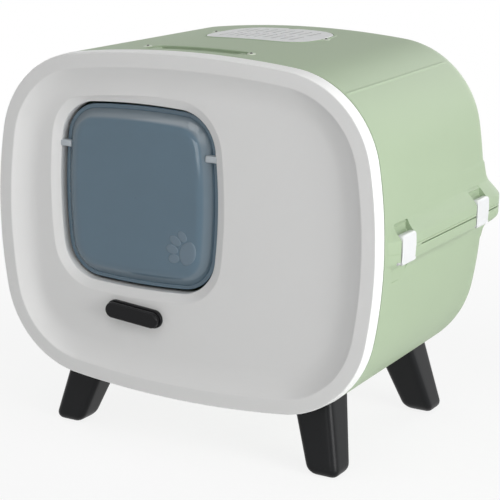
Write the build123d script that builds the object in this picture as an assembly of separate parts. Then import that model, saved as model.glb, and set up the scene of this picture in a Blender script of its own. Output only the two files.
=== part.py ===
from build123d import *
from math import cos, radians, sin, sqrt
import os

# Enclosed litter box on four legs, in millimetres.
# X is across, the door faces -Y, Z is up from the floor and Y = 0 is half way along the depth.
# A front panel like an old television screen closes a tub and a lift-off hood that share one section.

# Front outline: eight tangent arcs, measured to the outer edge of the rim
FRONT_W = 500.0
FRONT_H = 400.0
FLAT_R = 1188.0
SIDE_R = 550.0
CORNER_R = 115.5
CENTRE_Z = 270.0
DEPTH = 366.0
WALL = 3.0

# Front panel: rim band, dished face and door opening
BAND_D = 18.2
BAND_FLARE = 1.2
BAND_EDGE = 1.6
RIM_W = 17.2
RIM_T = 3.0
DISH_D = 12.0
DISH_RUN = 33.0
DISH_STEPS = ((0.0, 0.0), (0.12, 0.26), (0.26, 0.5), (0.4, 0.68), (0.56, 0.84), (0.76, 0.95), (1.0, 1.0))
PANEL_T = 3.0
DOOR_X = -62.0
DOOR_Z = CENTRE_Z + 30.0
DOOR_W = 217.0
DOOR_H = 217.0
DOOR_FLAT_R = 830.0
DOOR_SIDE_R = 553.0
DOOR_CORNER_R = 48.0
FUNNEL_RUN = 11.0
FUNNEL_D = 5.0
COLLAR_D = 17.0
COLLAR_T = 3.0

# Flap: a domed smoke-coloured moulding that swings both ways on two pins
FLAP_GAP = 5.0
FLAP_SETBACK = 4.5
FLAP_T = 2.4
FLAP_BORDER = 5.0
FLAP_RISE = 8.5
FLAP_STEPS = ((0.0, 0.0), (0.8, 0.3), (2.0, 0.55), (4.2, 0.76), (8.0, 0.9), (13.0, 0.975), (20.0, 1.0))
HINGE_DROP = 54.5
HINGE_Z = DOOR_Z + DOOR_H / 2 - HINGE_DROP
HINGE_SETBACK = 2.4
EAR_W = 11.0
EAR_H = 8.0
EAR_GAP = 1.0
FLAP_PIN_R = 2.0
FLAP_PIN_L = 17.0
PIN_BOSS = 5.0
RUNNING_GAP = 0.06

# Turn button that swings up in front of the flap's lower edge
LOCK_DROP = 29.5
LOCK_Z = DOOR_Z - DOOR_H / 2 - LOCK_DROP
LOCK_L = 76.0
LOCK_W = 22.0
LOCK_TILT = -4.8
LOCK_BASE_T = 4.0
LOCK_BASE_EDGE = 1.0
LOCK_CAP_T = 7.0
LOCK_CAP_STEP = 1.6
LOCK_CAP_EDGE = 2.0
LOCK_GAP = 0.4
SPINDLE_R = 4.0
WASHER_R = 9.0
WASHER_T = 1.0
RETAINER_R = 7.5
RETAINER_T = 1.6
SPINDLE_PROUD = 0.8

# Hood and tub: the section behind the band, with a small step down to a neck
BODY_FRONT = 20.5
REAR_SETBACK = 10.0
BODY_REAR = DEPTH - REAR_SETBACK
BODY_STEP = 1.0
SIDE_DRAFT = 0.031
TOP_RISE = 0.005
REAR_ROUND = 48.0
NECK_INSET = 3.4
NECK_T = 3.0
NECK_NEST = 10.0
NECK_GAP = 0.3
RETURN_LIP = 12.0
RETURN_LIP_D = 8.0
SEAM_Z = CENTRE_Z
SILL_DROP = 7.5
TUB_FRONT_TOP = DOOR_Z - DOOR_H / 2 - SILL_DROP
REVEAL_H = 1.4
REVEAL_D = 2.2
TONGUE_H = 6.0
TONGUE_T = 2.0
TONGUE_GAP = 0.4
TONGUE_BITE = 0.2
RIDGE_ANGLE = 52.2
RIDGE_R = 1.0
RIDGE_START = 4.0
RIDGE_END = 51.0

# Flange round the seam: outline in plan and how far each height steps in from it
FLANGE_W = 520.0
FLANGE_R = 54.0
FLANGE_START = 22.0
FLANGE_FULL = 43.0
FLANGE_UPPER = (
    (0.0, 13.0), (0.8, 15.7), (2.2, 18.3), (4.3, 20.8), (9.2, 25.8), (14.0, 31.0), (16.8, 36.0), (19.2, 44.0),
    (21.6, 52.0),
)
FLANGE_LOWER = (
    (0.0, 6.0), (0.8, 9.0), (2.4, 11.4), (4.6, 13.6), (12.4, 19.4), (16.4, 24.0), (19.4, 29.5), (22.6, 38.0),
)

# Clips: two on each side, hinged on the tub and hooked over a ledge in the hood
CLIP_W = 34.0
CLIP_Y = (61.0, DEPTH - 96.0)
CLIP_PIVOT_X = FLANGE_W / 2 - 2.2
CLIP_PIVOT_Z = SEAM_Z - 10.6
CLIP_BARREL_R = 3.8
CLIP_PLATE_T = 2.8
CLIP_H = 30.2
CLIP_EDGE = 1.2
HOOK_T = 3.2
HOOK_REACH = 3.4
HOOK_GAP = 0.4
CLIP_PIN_R = 1.5
POCKET_GAP = 1.2
POCKET_BACK = 0.6
POCKET_TOP = 41.6
POCKET_SLOPE_X = 5.0
POCKET_SLOPE_Z = 8.0
POCKET_REACH = 30.0
POCKET_BLOCK = 6.0
POCKET_ROOT = 14.0
POCKET_ROOF = 4.0
LEDGE_GAP = 0.8

# Carry handle: a bail that lies in a pocket in the hood's top
POCKET_L = 140.0
POCKET_W = 32.0
POCKET_R = 12.0
POCKET_Y = 47.0
POCKET_D = 15.0
BAIL_L = 118.0
BAIL_BAR = 10.0
BAIL_T = 8.0
BAIL_REACH = 16.5
BAIL_SINK = 2.2
BAIL_ARM_W = 7.0
BAIL_PIN_R = 2.5
BAIL_PIN_L = 18.0

# Filter: a drop-in tray, a pad and a slotted cover in the hood's top
FILTER_Y = 215.0
FILTER_W = 144.0
FILTER_D = 120.0
FILTER_FLAT_R = 344.0
FILTER_SIDE_R = 160.0
FILTER_CORNER_R = 34.0
FILTER_LIP = 3.0
FILTER_LIP_H = 0.6
FILTER_SEAT_D = 13.0
FILTER_LEDGE = 8.0
COVER_GAP = 0.8
COVER_T = 3.0
COVER_PROUD = 0.2
COVER_EDGE = 0.8
SKIRT_T = 2.0
TRAY_RIM_T = 2.0
TRAY_D = 18.0
TRAY_T = 2.0
TRAY_GAP = 0.5
PAD_T = 12.0
PAD_GAP = 0.7
SLOT_W = 3.0
SLOT_L = 36.0
SLOT_PITCH = 12.0
SLOT_COLUMNS = 9
SLOT_ROW_Y = 22.0
NOTCH_R = 8.0
NOTCH_OUT = 2.8

# Legs: square tapered posts that splay outwards both ways
LEG_X = FRONT_W / 2 - 72.0
LEG_FRONT_Y = 47.0
LEG_REAR_Y = DEPTH - 55.0
LEG_FOOT_X = 39.6
LEG_FOOT_Y = 37.6
LEG_TAPER = 0.065
LEG_SPLAY_X = 0.29
LEG_SPLAY_Y = 0.26
LEG_EDGE_R = 8.0
LEG_EDGE_FADE = 0.5
LEG_FOOT_R = 11.0
FOOT_STEPS = 4
LEG_TOP_Z = 118.0
LEG_SCREW_Z = 72.0
LEG_PAD_R = 9.0
LEG_PAD_Z = 93.0

# Screws
LEG_SCREW_R = 2.2
LEG_SCREW_HEAD_R = 4.5
LEG_SCREW_HEAD_H = 3.0
LEG_SCREW_EDGE = 1.0
LEG_SCREW_L = 30.0
PANEL_SCREW_R = 1.7
PANEL_SCREW_HEAD_R = 3.5
PANEL_SCREW_HEAD_H = 2.4
PANEL_SCREW_L = 8.5
PANEL_BOSS_R = 4.5
PANEL_SCREWS = ((100.0, 130.0), (185.0, 175.0))

FRONT_Y = -DEPTH / 2
BIG = 2000.0


def corner_centre(w, h, flat, side, corner):
    """Where the corner arc that touches both the flat arc and the side arc has its centre."""
    flat_c, side_c = Vector(0, h - flat), Vector(w - side, 0)
    span = side_c - flat_c
    to_corner = flat - corner
    along = (to_corner**2 - (side - corner) ** 2 + span.length**2) / (2 * span.length)
    u = span.normalized()
    return flat_c + u * along + Vector(u.Y, -u.X) * sqrt(to_corner**2 - along**2)


def outline(width, height, r_flat, r_side, r_corner, inset):
    """A face bounded by eight tangent arcs about its own centre, with every edge moved in by inset."""
    w, h = width / 2 - inset, height / 2 - inset
    flat, side, corner = r_flat - inset, r_side - inset, r_corner - inset
    flat_c, side_c = Vector(0, h - flat), Vector(w - side, 0)
    corner_c = corner_centre(w, h, flat, side, corner)
    top = flat_c + (corner_c - flat_c).normalized() * flat
    right = side_c + (corner_c - side_c).normalized() * side
    mid = corner_c + (top + right - corner_c * 2).normalized() * corner
    ends = [
        (-top.X, top.Y), (top.X, top.Y), (right.X, right.Y), (right.X, -right.Y),
        (top.X, -top.Y), (-top.X, -top.Y), (-right.X, -right.Y), (-right.X, right.Y),
    ]
    through = [
        (0, h), (mid.X, mid.Y), (w, 0), (mid.X, -mid.Y),
        (0, -h), (-mid.X, -mid.Y), (-w, 0), (-mid.X, mid.Y),
    ]
    arcs = [ThreePointArc(a, m, b) for a, m, b in zip(ends, through, ends[1:] + ends[:1])]
    return Face(Wire(arcs))


def front_outline(inset):
    return outline(FRONT_W, FRONT_H, FLAT_R, SIDE_R, CORNER_R, inset)


def door_outline(inset):
    return outline(DOOR_W, DOOR_H, DOOR_FLAT_R, DOOR_SIDE_R, DOOR_CORNER_R, inset)


def filter_outline(inset):
    return outline(FILTER_W, FILTER_D, FILTER_FLAT_R, FILTER_SIDE_R, FILTER_CORNER_R, inset)


def upright(depth, x=0.0, z=CENTRE_Z):
    """The plane of an outline that faces forward at a distance behind the rim face."""
    return Plane(origin=(x, FRONT_Y + depth, z), x_dir=(1, 0, 0), z_dir=(0, -1, 0))


def along_y(shape, stations, x=0.0, z=CENTRE_Z):
    """A ruled solid through the outline at each (inset, distance behind the rim face)."""
    return loft([upright(depth, x, z) * shape(inset) for inset, depth in stations], ruled=True)


def along_z(shape, stations, y):
    """A ruled solid through the outline at each (inset, height)."""
    return loft([Pos(0, y, z) * shape(inset) for inset, z in stations], ruled=True)


def block(x0, x1, y0, y1, z0, z1):
    """A box given by its limits, with Y as a distance behind the rim face."""
    size = Box(x1 - x0, y1 - y0, z1 - z0)
    return Pos((x0 + x1) / 2, FRONT_Y + (y0 + y1) / 2, (z0 + z1) / 2) * size


def rod_y(x, z, radius, start, end):
    """A round bar along Y between two distances behind the rim face."""
    plane = Plane(origin=(x, FRONT_Y + start, z), x_dir=(1, 0, 0), z_dir=(0, 1, 0))
    return plane * Cylinder(radius, end - start, align=(Align.CENTER, Align.CENTER, Align.MIN))


def rod_x(y, z, radius, start, end):
    """A round bar along X."""
    plane = Plane(origin=(start, FRONT_Y + y, z), x_dir=(0, 1, 0), z_dir=(1, 0, 0))
    return plane * Cylinder(radius, end - start, align=(Align.CENTER, Align.CENTER, Align.MIN))


def rod_z(x, y, radius, start, end):
    """An upright round bar."""
    return Pos(x, FRONT_Y + y, start) * Cylinder(
        radius, end - start, align=(Align.CENTER, Align.CENTER, Align.MIN)
    )


# Places that several pieces share
PANEL_FACE = DISH_D
PANEL_BACK = DISH_D + PANEL_T
DOOR_EDGE = PANEL_FACE + FUNNEL_D
COLLAR_END = DOOR_EDGE + COLLAR_D
FLAP_FACE = DOOR_EDGE + FLAP_SETBACK
HINGE_Y = DOOR_EDGE + HINGE_SETBACK
HINGE_HALF = DOOR_W / 2 - DOOR_SIDE_R + sqrt(DOOR_SIDE_R**2 - (HINGE_Z - DOOR_Z) ** 2)
EAR_OUT = HINGE_HALF - EAR_GAP
PIN_OUT = HINGE_HALF + PIN_BOSS - 1.0
TOP_Z = CENTRE_Z + FRONT_H / 2 + BODY_STEP
FILTER_TOP_Z = TOP_Z + TOP_RISE * (FILTER_Y + FILTER_D / 2 - BODY_FRONT)


def dish_stations(thickness):
    """The dished face's steps, or those of a face that lies a thickness outside and behind it."""
    return [(RIM_W + run * DISH_RUN - thickness, fall * DISH_D + thickness) for run, fall in DISH_STEPS]


def front_panel():
    """Rim band, dished face, funnel, collar round the door, hinge bosses and screw bosses."""
    band = along_y(front_outline, [(0.0, 0.0), (-BAND_FLARE, BAND_D)])
    rim_edges = band.faces().sort_by(Axis.Y)[0].edges()
    band = fillet(rim_edges, BAND_EDGE)
    hollow = along_y(front_outline, [(WALL, RIM_T), (WALL - BAND_FLARE, BAND_D + 1.0)])
    back_of_dish = along_y(front_outline, dish_stations(PANEL_T))
    panel = band - hollow + back_of_dish
    collar = along_y(door_outline, [(-COLLAR_T, PANEL_FACE), (-COLLAR_T, COLLAR_END)], DOOR_X, DOOR_Z)
    panel += collar
    for side in (-1, 1):
        x = DOOR_X + side * (HINGE_HALF + PIN_BOSS / 2)
        panel += block(
            x - PIN_BOSS / 2, x + PIN_BOSS / 2,
            PANEL_FACE + 1.0, HINGE_Y + PIN_BOSS,
            HINGE_Z - PIN_BOSS, HINGE_Z + PIN_BOSS,
        )
        for screw_x, screw_z in PANEL_SCREWS:
            panel += rod_y(side * screw_x, screw_z, PANEL_BOSS_R, PANEL_FACE + 1.0, BODY_FRONT)
    front_skin = along_y(front_outline, dish_stations(0.0))
    front_cut = front_skin + along_y(front_outline, [(RIM_W, -5.0), (RIM_W, 0.0)])
    panel -= front_cut
    funnel = [(-FUNNEL_RUN, PANEL_FACE), (0.0, DOOR_EDGE)]
    funnel_back = [(-FUNNEL_RUN - COLLAR_T, PANEL_BACK), (-COLLAR_T, DOOR_EDGE + PANEL_T)]
    panel += along_y(door_outline, funnel_back, DOOR_X, DOOR_Z)
    panel -= along_y(door_outline, funnel, DOOR_X, DOOR_Z)
    panel -= along_y(door_outline, [(0.0, PANEL_FACE), (0.0, COLLAR_END + 1.0)], DOOR_X, DOOR_Z)
    for side in (-1, 1):
        inner = DOOR_X + side * EAR_OUT
        outer = DOOR_X + side * PIN_OUT
        panel -= rod_x(HINGE_Y, HINGE_Z, FLAP_PIN_R, min(inner, outer), max(inner, outer))
        for screw_x, screw_z in PANEL_SCREWS:
            panel -= rod_y(side * screw_x, screw_z, PANEL_SCREW_R, PANEL_BACK - 1.0, BODY_FRONT + 1.0)
    panel -= rod_y(DOOR_X, LOCK_Z, SPINDLE_R + RUNNING_GAP, PANEL_FACE - 1.0, PANEL_BACK + 1.0)
    return panel


def door_flap():
    """A bordered dome, open behind, with an ear on each side for its pin."""
    edge = FLAP_FACE + FLAP_T
    border = FLAP_GAP + FLAP_BORDER
    flap = along_y(door_outline, [(FLAP_GAP, FLAP_FACE), (FLAP_GAP, edge)], DOOR_X, DOOR_Z)
    dome = [(border + run, FLAP_FACE - rise * FLAP_RISE) for run, rise in FLAP_STEPS]
    inside = [(inset + FLAP_T, depth + FLAP_T) for inset, depth in dome]
    inside = [(border + FLAP_T, edge + 1.0)] + inside[1:]
    flap += along_y(door_outline, dome, DOOR_X, DOOR_Z)
    flap -= along_y(door_outline, inside, DOOR_X, DOOR_Z)
    for side in (-1, 1):
        near = DOOR_X + side * (EAR_OUT - EAR_W)
        far = DOOR_X + side * EAR_OUT
        flap += block(
            min(near, far), max(near, far),
            HINGE_Y - EAR_H / 2, FLAP_FACE + FLAP_T,
            HINGE_Z - EAR_H / 2, HINGE_Z + EAR_H / 2,
        )
        reach = DOOR_X + side * PIN_OUT
        start = reach - side * FLAP_PIN_L
        flap -= rod_x(HINGE_Y, HINGE_Z, FLAP_PIN_R + RUNNING_GAP, min(start, reach), max(start, reach))
    return flap


def flap_pin(side):
    outer = DOOR_X + side * PIN_OUT
    inner = outer - side * FLAP_PIN_L
    return rod_x(HINGE_Y, HINGE_Z, FLAP_PIN_R, min(inner, outer), max(inner, outer))


def pill(inset, start, end):
    """A flat bar with round ends, laid at the turn button's tilt."""
    plane = Plane(origin=(DOOR_X, FRONT_Y + start, LOCK_Z), x_dir=(1, 0, 0), z_dir=(0, -1, 0))
    shape = SlotOverall(LOCK_L - 2 * inset, LOCK_W - 2 * inset, rotation=LOCK_TILT)
    return extrude(plane * shape, amount=end - start, dir=(0, 1, 0))


LOCK_SEAT = PANEL_FACE - LOCK_GAP
LOCK_STEP = LOCK_SEAT - LOCK_BASE_T
WASHER_Y = PANEL_BACK + LOCK_GAP
RETAINER_Y = WASHER_Y + WASHER_T


def lock_base():
    """The button's back plate with its spindle."""
    plate = pill(0.0, LOCK_STEP, LOCK_SEAT)
    plate = fillet(plate.faces().sort_by(Axis.Y)[0].edges(), LOCK_BASE_EDGE)
    spindle = rod_y(DOOR_X, LOCK_Z, SPINDLE_R, LOCK_SEAT - 1.0, RETAINER_Y + RETAINER_T + SPINDLE_PROUD)
    return plate + spindle


def lock_cap():
    cap = pill(LOCK_CAP_STEP, LOCK_STEP - LOCK_CAP_T, LOCK_STEP)
    return fillet(cap.faces().sort_by(Axis.Y)[0].edges(), LOCK_CAP_EDGE)


def lock_washer():
    ring = rod_y(DOOR_X, LOCK_Z, WASHER_R, WASHER_Y, WASHER_Y + WASHER_T)
    return ring - rod_y(DOOR_X, LOCK_Z, SPINDLE_R + RUNNING_GAP, WASHER_Y - 1.0, RETAINER_Y + 1.0)


def lock_retainer():
    ring = rod_y(DOOR_X, LOCK_Z, RETAINER_R, RETAINER_Y, RETAINER_Y + RETAINER_T)
    ring -= rod_y(DOOR_X, LOCK_Z, SPINDLE_R, RETAINER_Y - 1.0, RETAINER_Y + RETAINER_T + 1.0)
    return ring


def body_halves(depth):
    """Half the body's width and height: its sides draw in with depth, and its top and floor spread a little."""
    run = depth - BODY_FRONT
    return FRONT_W / 2 - SIDE_DRAFT * run, FRONT_H / 2 + TOP_RISE * run


def body_form(inset, front, rear, rounding):
    """The section behind the band, rounded at the rear."""
    sections = []
    for depth in (front, rear):
        half_w, half_h = body_halves(depth)
        section = outline(2 * half_w, 2 * half_h, FLAT_R, SIDE_R, CORNER_R, inset - BODY_STEP)
        sections.append(upright(depth) * section)
    form = loft(sections, ruled=True)
    return fillet(form.faces().sort_by(Axis.Y)[-1].edges(), rounding)


def raised_form(height):
    """The body's outer form with its faces moved out by a height."""
    return body_form(-height, BODY_FRONT, BODY_REAR, REAR_ROUND)


def ridge_point(side, depth):
    """Where the ridge along an upper corner lies at a depth."""
    turn = radians(RIDGE_ANGLE)
    crest = corner_centre(*body_halves(depth), FLAT_R, SIDE_R, CORNER_R)
    crest += Vector(cos(turn), sin(turn)) * (CORNER_R + BODY_STEP)
    return Vector(side * crest.X, FRONT_Y + depth, CENTRE_Z + crest.Y)


def flange_outline(inset):
    """The flange in plan: it grows out of each side, runs back and rounds the rear corners."""
    half, rear, r = FLANGE_W / 2 - inset, FRONT_Y + DEPTH - inset, FLANGE_R - inset
    root = FRONT_W / 2 - inset
    start, full = FRONT_Y + FLANGE_START, FRONT_Y + FLANGE_FULL
    bulge = r * (1 - sqrt(0.5))
    edges = [
        Line((-root, start), (-half, full)),
        Line((-half, full), (-half, rear - r)),
        ThreePointArc((-half, rear - r), (-half + bulge, rear - bulge), (-half + r, rear)),
        Line((-half + r, rear), (half - r, rear)),
        ThreePointArc((half - r, rear), (half - bulge, rear - bulge), (half, rear - r)),
        Line((half, rear - r), (half, full)),
        Line((half, full), (root, start)),
        Line((root, start), (-root, start)),
    ]
    return Face(Wire(edges))


def flange_form(inset):
    """The flange's solid between its lower and upper flares."""
    lower = [(step + inset, SEAM_Z - drop) for step, drop in reversed(FLANGE_LOWER)]
    upper = [(step + inset, SEAM_Z + rise) for step, rise in FLANGE_UPPER]
    return along_z(flange_outline, lower + upper, 0.0)


def clip_section(side, depth):
    """The plane of a clip's side view at its pivot, with local x pointing outwards."""
    return Plane(
        origin=(side * CLIP_PIVOT_X, FRONT_Y + depth, CLIP_PIVOT_Z),
        x_dir=(side, 0, 0),
        z_dir=(0, -side, 0),
    )


def clip_slab(side, depth, points, width):
    """A straight-sided solid from a clip side view, centred on the clip."""
    section = clip_section(side, depth) * Polygon(*points, align=None)
    return extrude(section, amount=width / 2, both=True)


def tub_pocket(side, depth):
    back = -CLIP_BARREL_R - POCKET_BACK
    out = POCKET_REACH
    seam = SEAM_Z - CLIP_PIVOT_Z + 1
    points = [(back, -out), (out, -out), (out, seam), (back, seam)]
    return clip_slab(side, depth, points, CLIP_W + 2 * POCKET_GAP)


def hood_pocket(side, depth):
    """Space for the clip: shallow below its ledge, deeper above, with a sloped top."""
    back = -CLIP_BARREL_R - POCKET_BACK
    ledge_face = CLIP_BARREL_R - CLIP_PLATE_T - LEDGE_GAP
    ledge = CLIP_H - HOOK_T - HOOK_GAP
    seam = SEAM_Z - CLIP_PIVOT_Z - 1
    points = [
        (ledge_face, seam), (POCKET_REACH, seam), (POCKET_REACH, POCKET_TOP),
        (back - POCKET_SLOPE_X, POCKET_TOP), (back, POCKET_TOP - POCKET_SLOPE_Z),
        (back, ledge), (ledge_face, ledge),
    ]
    return clip_slab(side, depth, points, CLIP_W + 2 * POCKET_GAP)


def clip_zone(side, depth, gap=0.0):
    """A box round a pocket, reaching in to the cabin and out past the flange."""
    half = CLIP_W / 2 + POCKET_GAP + POCKET_BLOCK + gap
    inner, far = side * (CLIP_PIVOT_X - POCKET_ROOT - gap), side * (FLANGE_W / 2 + 5.0)
    return block(
        min(inner, far), max(inner, far), depth - half, depth + half,
        SEAM_Z - FLANGE_LOWER[-1][1], CLIP_PIVOT_Z + POCKET_TOP + POCKET_ROOF,
    )


def clip(side, depth):
    """A plate with a barrel at its foot and a hook at its head."""
    inner = CLIP_BARREL_R - CLIP_PLATE_T
    points = [
        (inner, 0), (CLIP_BARREL_R, 0), (CLIP_BARREL_R, CLIP_H - CLIP_EDGE), (CLIP_BARREL_R - CLIP_EDGE, CLIP_H),
        (-HOOK_REACH, CLIP_H), (-HOOK_REACH, CLIP_H - HOOK_T), (inner, CLIP_H - HOOK_T),
    ]
    plate = clip_slab(side, depth, points, CLIP_W)
    start = depth - CLIP_W / 2
    barrel = rod_y(side * CLIP_PIVOT_X, CLIP_PIVOT_Z, CLIP_BARREL_R, start, start + CLIP_W)
    bore = rod_y(side * CLIP_PIVOT_X, CLIP_PIVOT_Z, CLIP_PIN_R + RUNNING_GAP, start - 1, start + CLIP_W + 1)
    return plate + barrel - bore


def clip_pin(side, depth):
    half = CLIP_W / 2 + POCKET_GAP + POCKET_BLOCK - 1.0
    return rod_y(side * CLIP_PIVOT_X, CLIP_PIVOT_Z, CLIP_PIN_R, depth - half, depth + half)


def every_clip():
    return [(side, depth) for side in (-1, 1) for depth in CLIP_Y]


def upper_half(shape):
    return shape & block(-BIG, BIG, -BIG, BIG, SEAM_Z, BIG)


def lower_half(shape):
    return shape & block(-BIG, BIG, -BIG, BIG, -BIG, SEAM_Z)


def neck(start):
    """The ring that carries the section forward to the band."""
    end = BODY_FRONT + 1.0
    ring = along_y(front_outline, [(NECK_INSET, start), (NECK_INSET, end)])
    return ring - along_y(front_outline, [(NECK_INSET + NECK_T, start - 1), (NECK_INSET + NECK_T, end + 1)])


OUTER = body_form(0.0, BODY_FRONT, BODY_REAR, REAR_ROUND) + flange_form(0.0)
INNER = body_form(WALL, BODY_FRONT + WALL, BODY_REAR - WALL, REAR_ROUND - WALL)
APERTURE = along_y(front_outline, [(RETURN_LIP, 0.0), (RETURN_LIP, BODY_FRONT + WALL + RETURN_LIP_D)])
SEAT_Z = FILTER_TOP_Z - FILTER_SEAT_D
POCKET_FLOOR = TOP_Z - POCKET_D
BAIL_TOP = TOP_Z - BAIL_SINK
BAIL_AXIS_Y = POCKET_Y + BAIL_REACH / 2
BAIL_AXIS_Z = BAIL_TOP - BAIL_T / 2


def flange_hollow():
    """The space inside the flange, open to the cabin and clear of the front lip."""
    return flange_form(WALL) & block(-BIG, BIG, FLANGE_START + 2 * WALL, BIG, 0.0, BIG)


def shell():
    """The whole hollow section with its flange, before it is parted at the seam."""
    hollow = INNER + flange_hollow()
    form = OUTER - hollow
    for side, depth in every_clip():
        form += clip_zone(side, depth) & OUTER
    return form


def hood(form):
    """Upper half: front lip, clip pockets, handle pocket, filter seat and the ridge along each side."""
    top = upper_half(form) + upper_half(neck(BAND_D + NECK_GAP))
    top -= APERTURE
    reveal = along_z(flange_outline, [(-10.0, SEAM_Z - 1.0), (-10.0, SEAM_Z + REVEAL_H)], 0.0)
    reveal -= along_z(flange_outline, [(REVEAL_D, SEAM_Z - 2.0), (REVEAL_D, SEAM_Z + REVEAL_H + 1.0)], 0.0)
    top -= reveal & block(-BIG, BIG, CLIP_Y[0] + CLIP_W, BIG, 0.0, BIG)
    for side, depth in every_clip():
        top -= hood_pocket(side, depth)
    for side in (-1, 1):
        start = ridge_point(side, BODY_FRONT + RIDGE_START)
        end = ridge_point(side, BODY_REAR - RIDGE_END)
        spine = Plane(origin=start, z_dir=end - start)
        top += spine * Cylinder(RIDGE_R, (end - start).length, align=(Align.CENTER, Align.CENTER, Align.MIN))
    slot = Pos(0, FRONT_Y + POCKET_Y, 0) * RectangleRounded(POCKET_L, POCKET_W, POCKET_R)
    slot_wall = Pos(0, FRONT_Y + POCKET_Y, 0) * RectangleRounded(
        POCKET_L + 2 * WALL, POCKET_W + 2 * WALL, POCKET_R + WALL
    )
    well = extrude(Pos(0, 0, POCKET_FLOOR - WALL) * slot_wall, amount=BIG, dir=(0, 0, 1))
    top += well & OUTER
    top -= extrude(Pos(0, 0, POCKET_FLOOR) * slot, amount=BIG, dir=(0, 0, 1))
    top -= rod_x(BAIL_AXIS_Y, BAIL_AXIS_Z, BAIL_PIN_R, -pin_end(), pin_end())
    y = FRONT_Y + FILTER_Y
    above = FILTER_TOP_Z + FILTER_SEAT_D
    lip = along_z(filter_outline, [(-FILTER_LIP, SEAT_Z - WALL), (-FILTER_LIP, above)], y)
    top += lip & raised_form(FILTER_LIP_H)
    top -= along_z(filter_outline, [(0.0, SEAT_Z), (0.0, above)], y)
    top -= along_z(filter_outline, [(FILTER_LEDGE, SEAT_Z - WALL - 1.0), (FILTER_LEDGE, above)], y)
    return top


def pin_end():
    """How far the handle's pins reach from the middle."""
    return POCKET_L / 2 + WALL - 1.0


def base_tub(form):
    """Lower half: tub with a low front wall, nested neck, seam tongue, pin holes and screw pads."""
    tub = lower_half(form) + lower_half(neck(BAND_D - NECK_NEST))
    tongue_out = WALL + TONGUE_GAP
    root = body_form(WALL - TONGUE_BITE, BODY_FRONT + WALL, BODY_REAR - WALL, REAR_ROUND - WALL)
    core = body_form(
        tongue_out + TONGUE_T, BODY_FRONT + tongue_out + TONGUE_T,
        BODY_REAR - tongue_out - TONGUE_T, REAR_ROUND - tongue_out - TONGUE_T,
    )
    tongue = body_form(tongue_out, BODY_FRONT + tongue_out, BODY_REAR - tongue_out, REAR_ROUND - tongue_out)
    level = block(-BIG, BIG, -BIG, BIG, SEAM_Z - TONGUE_H, SEAM_Z)
    above = block(-BIG, BIG, -BIG, BIG, SEAM_Z - TONGUE_BITE, SEAM_Z + TONGUE_H)
    tub += (root - core) & level
    upstand = (tongue - core) & above
    for side, depth in every_clip():
        upstand -= clip_zone(side, depth, TONGUE_GAP)
    tub += upstand
    tub -= APERTURE & block(-BIG, BIG, -BIG, BIG, TUB_FRONT_TOP, BIG)
    tub += lower_half(OUTER) & block(-BIG, BIG, BODY_FRONT, BODY_FRONT + WALL, 0.0, TUB_FRONT_TOP)
    for side, depth in every_clip():
        tub -= tub_pocket(side, depth)
        tub -= clip_pin(side, depth)
    pads = []
    for side, front, lean in every_leg():
        x, y = leg_screw_place(side, front, lean)
        pads.append(rod_z(x, y, LEG_PAD_R, 0.0, LEG_PAD_Z))
    for pad in pads:
        tub += pad & OUTER
    for side, front, lean in every_leg():
        x, y = leg_screw_place(side, front, lean)
        tub -= rod_z(x, y, LEG_SCREW_R, 0.0, LEG_PAD_Z + 1.0)
    for side in (-1, 1):
        for x, z in PANEL_SCREWS:
            tub -= rod_y(side * x, z, PANEL_SCREW_R, BODY_FRONT - 1.0, BODY_FRONT + WALL + 1.0)
    return tub


def every_leg():
    """Each leg's side, foot distance behind the rim face and which way it leans in Y."""
    return [(side, y, lean) for y, lean in ((LEG_FRONT_Y, 1), (LEG_REAR_Y, -1)) for side in (-1, 1)]


def leg_centre(side, front, lean, z):
    """The leg's middle at a height, as x and distance behind the rim face."""
    return side * (LEG_X - LEG_SPLAY_X * z), front + lean * LEG_SPLAY_Y * z


def leg_screw_place(side, front, lean):
    return leg_centre(side, front, lean, LEG_SCREW_Z)


def leg_stations():
    """Heights up the leg with how far each is drawn in: a rounded foot in steps, then the top."""
    foot = []
    for step in range(FOOT_STEPS):
        angle = radians(90.0 * step / FOOT_STEPS)
        foot.append((LEG_FOOT_R * (1 - cos(angle)), LEG_FOOT_R * (1 - sin(angle))))
    return foot + [(LEG_FOOT_R, 0.0), (LEG_TOP_Z, 0.0)]


def leg(side, front, lean):
    """A tapered post cut to the tub's underside, with a hole for its screw."""
    sections = []
    for z, inset in leg_stations():
        x, y = leg_centre(side, front, lean, z)
        grow = 2 * (LEG_TAPER * z - inset)
        edge = LEG_EDGE_R - LEG_EDGE_FADE * inset
        shape = RectangleRounded(LEG_FOOT_X + grow, LEG_FOOT_Y + grow, edge)
        sections.append(Pos(x, FRONT_Y + y, z) * shape)
    post = loft(sections, ruled=True) - OUTER
    x, y = leg_screw_place(side, front, lean)
    post -= rod_z(x, y, LEG_SCREW_R, LEG_PAD_Z - LEG_SCREW_L, LEG_TOP_Z)
    return post.solids().sort_by(Axis.Z)[0]


def leg_screws():
    """Four identical screws from inside the tub, one in each leg."""
    screws = []
    for side, front, lean in every_leg():
        x, y = leg_screw_place(side, front, lean)
        shank = rod_z(x, y, LEG_SCREW_R, LEG_PAD_Z - LEG_SCREW_L, LEG_PAD_Z)
        head = rod_z(x, y, LEG_SCREW_HEAD_R, LEG_PAD_Z, LEG_PAD_Z + LEG_SCREW_HEAD_H)
        screws.append(shank + fillet(head.faces().sort_by(Axis.Z)[-1].edges(), LEG_SCREW_EDGE))
    return Compound(children=screws)


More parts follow.
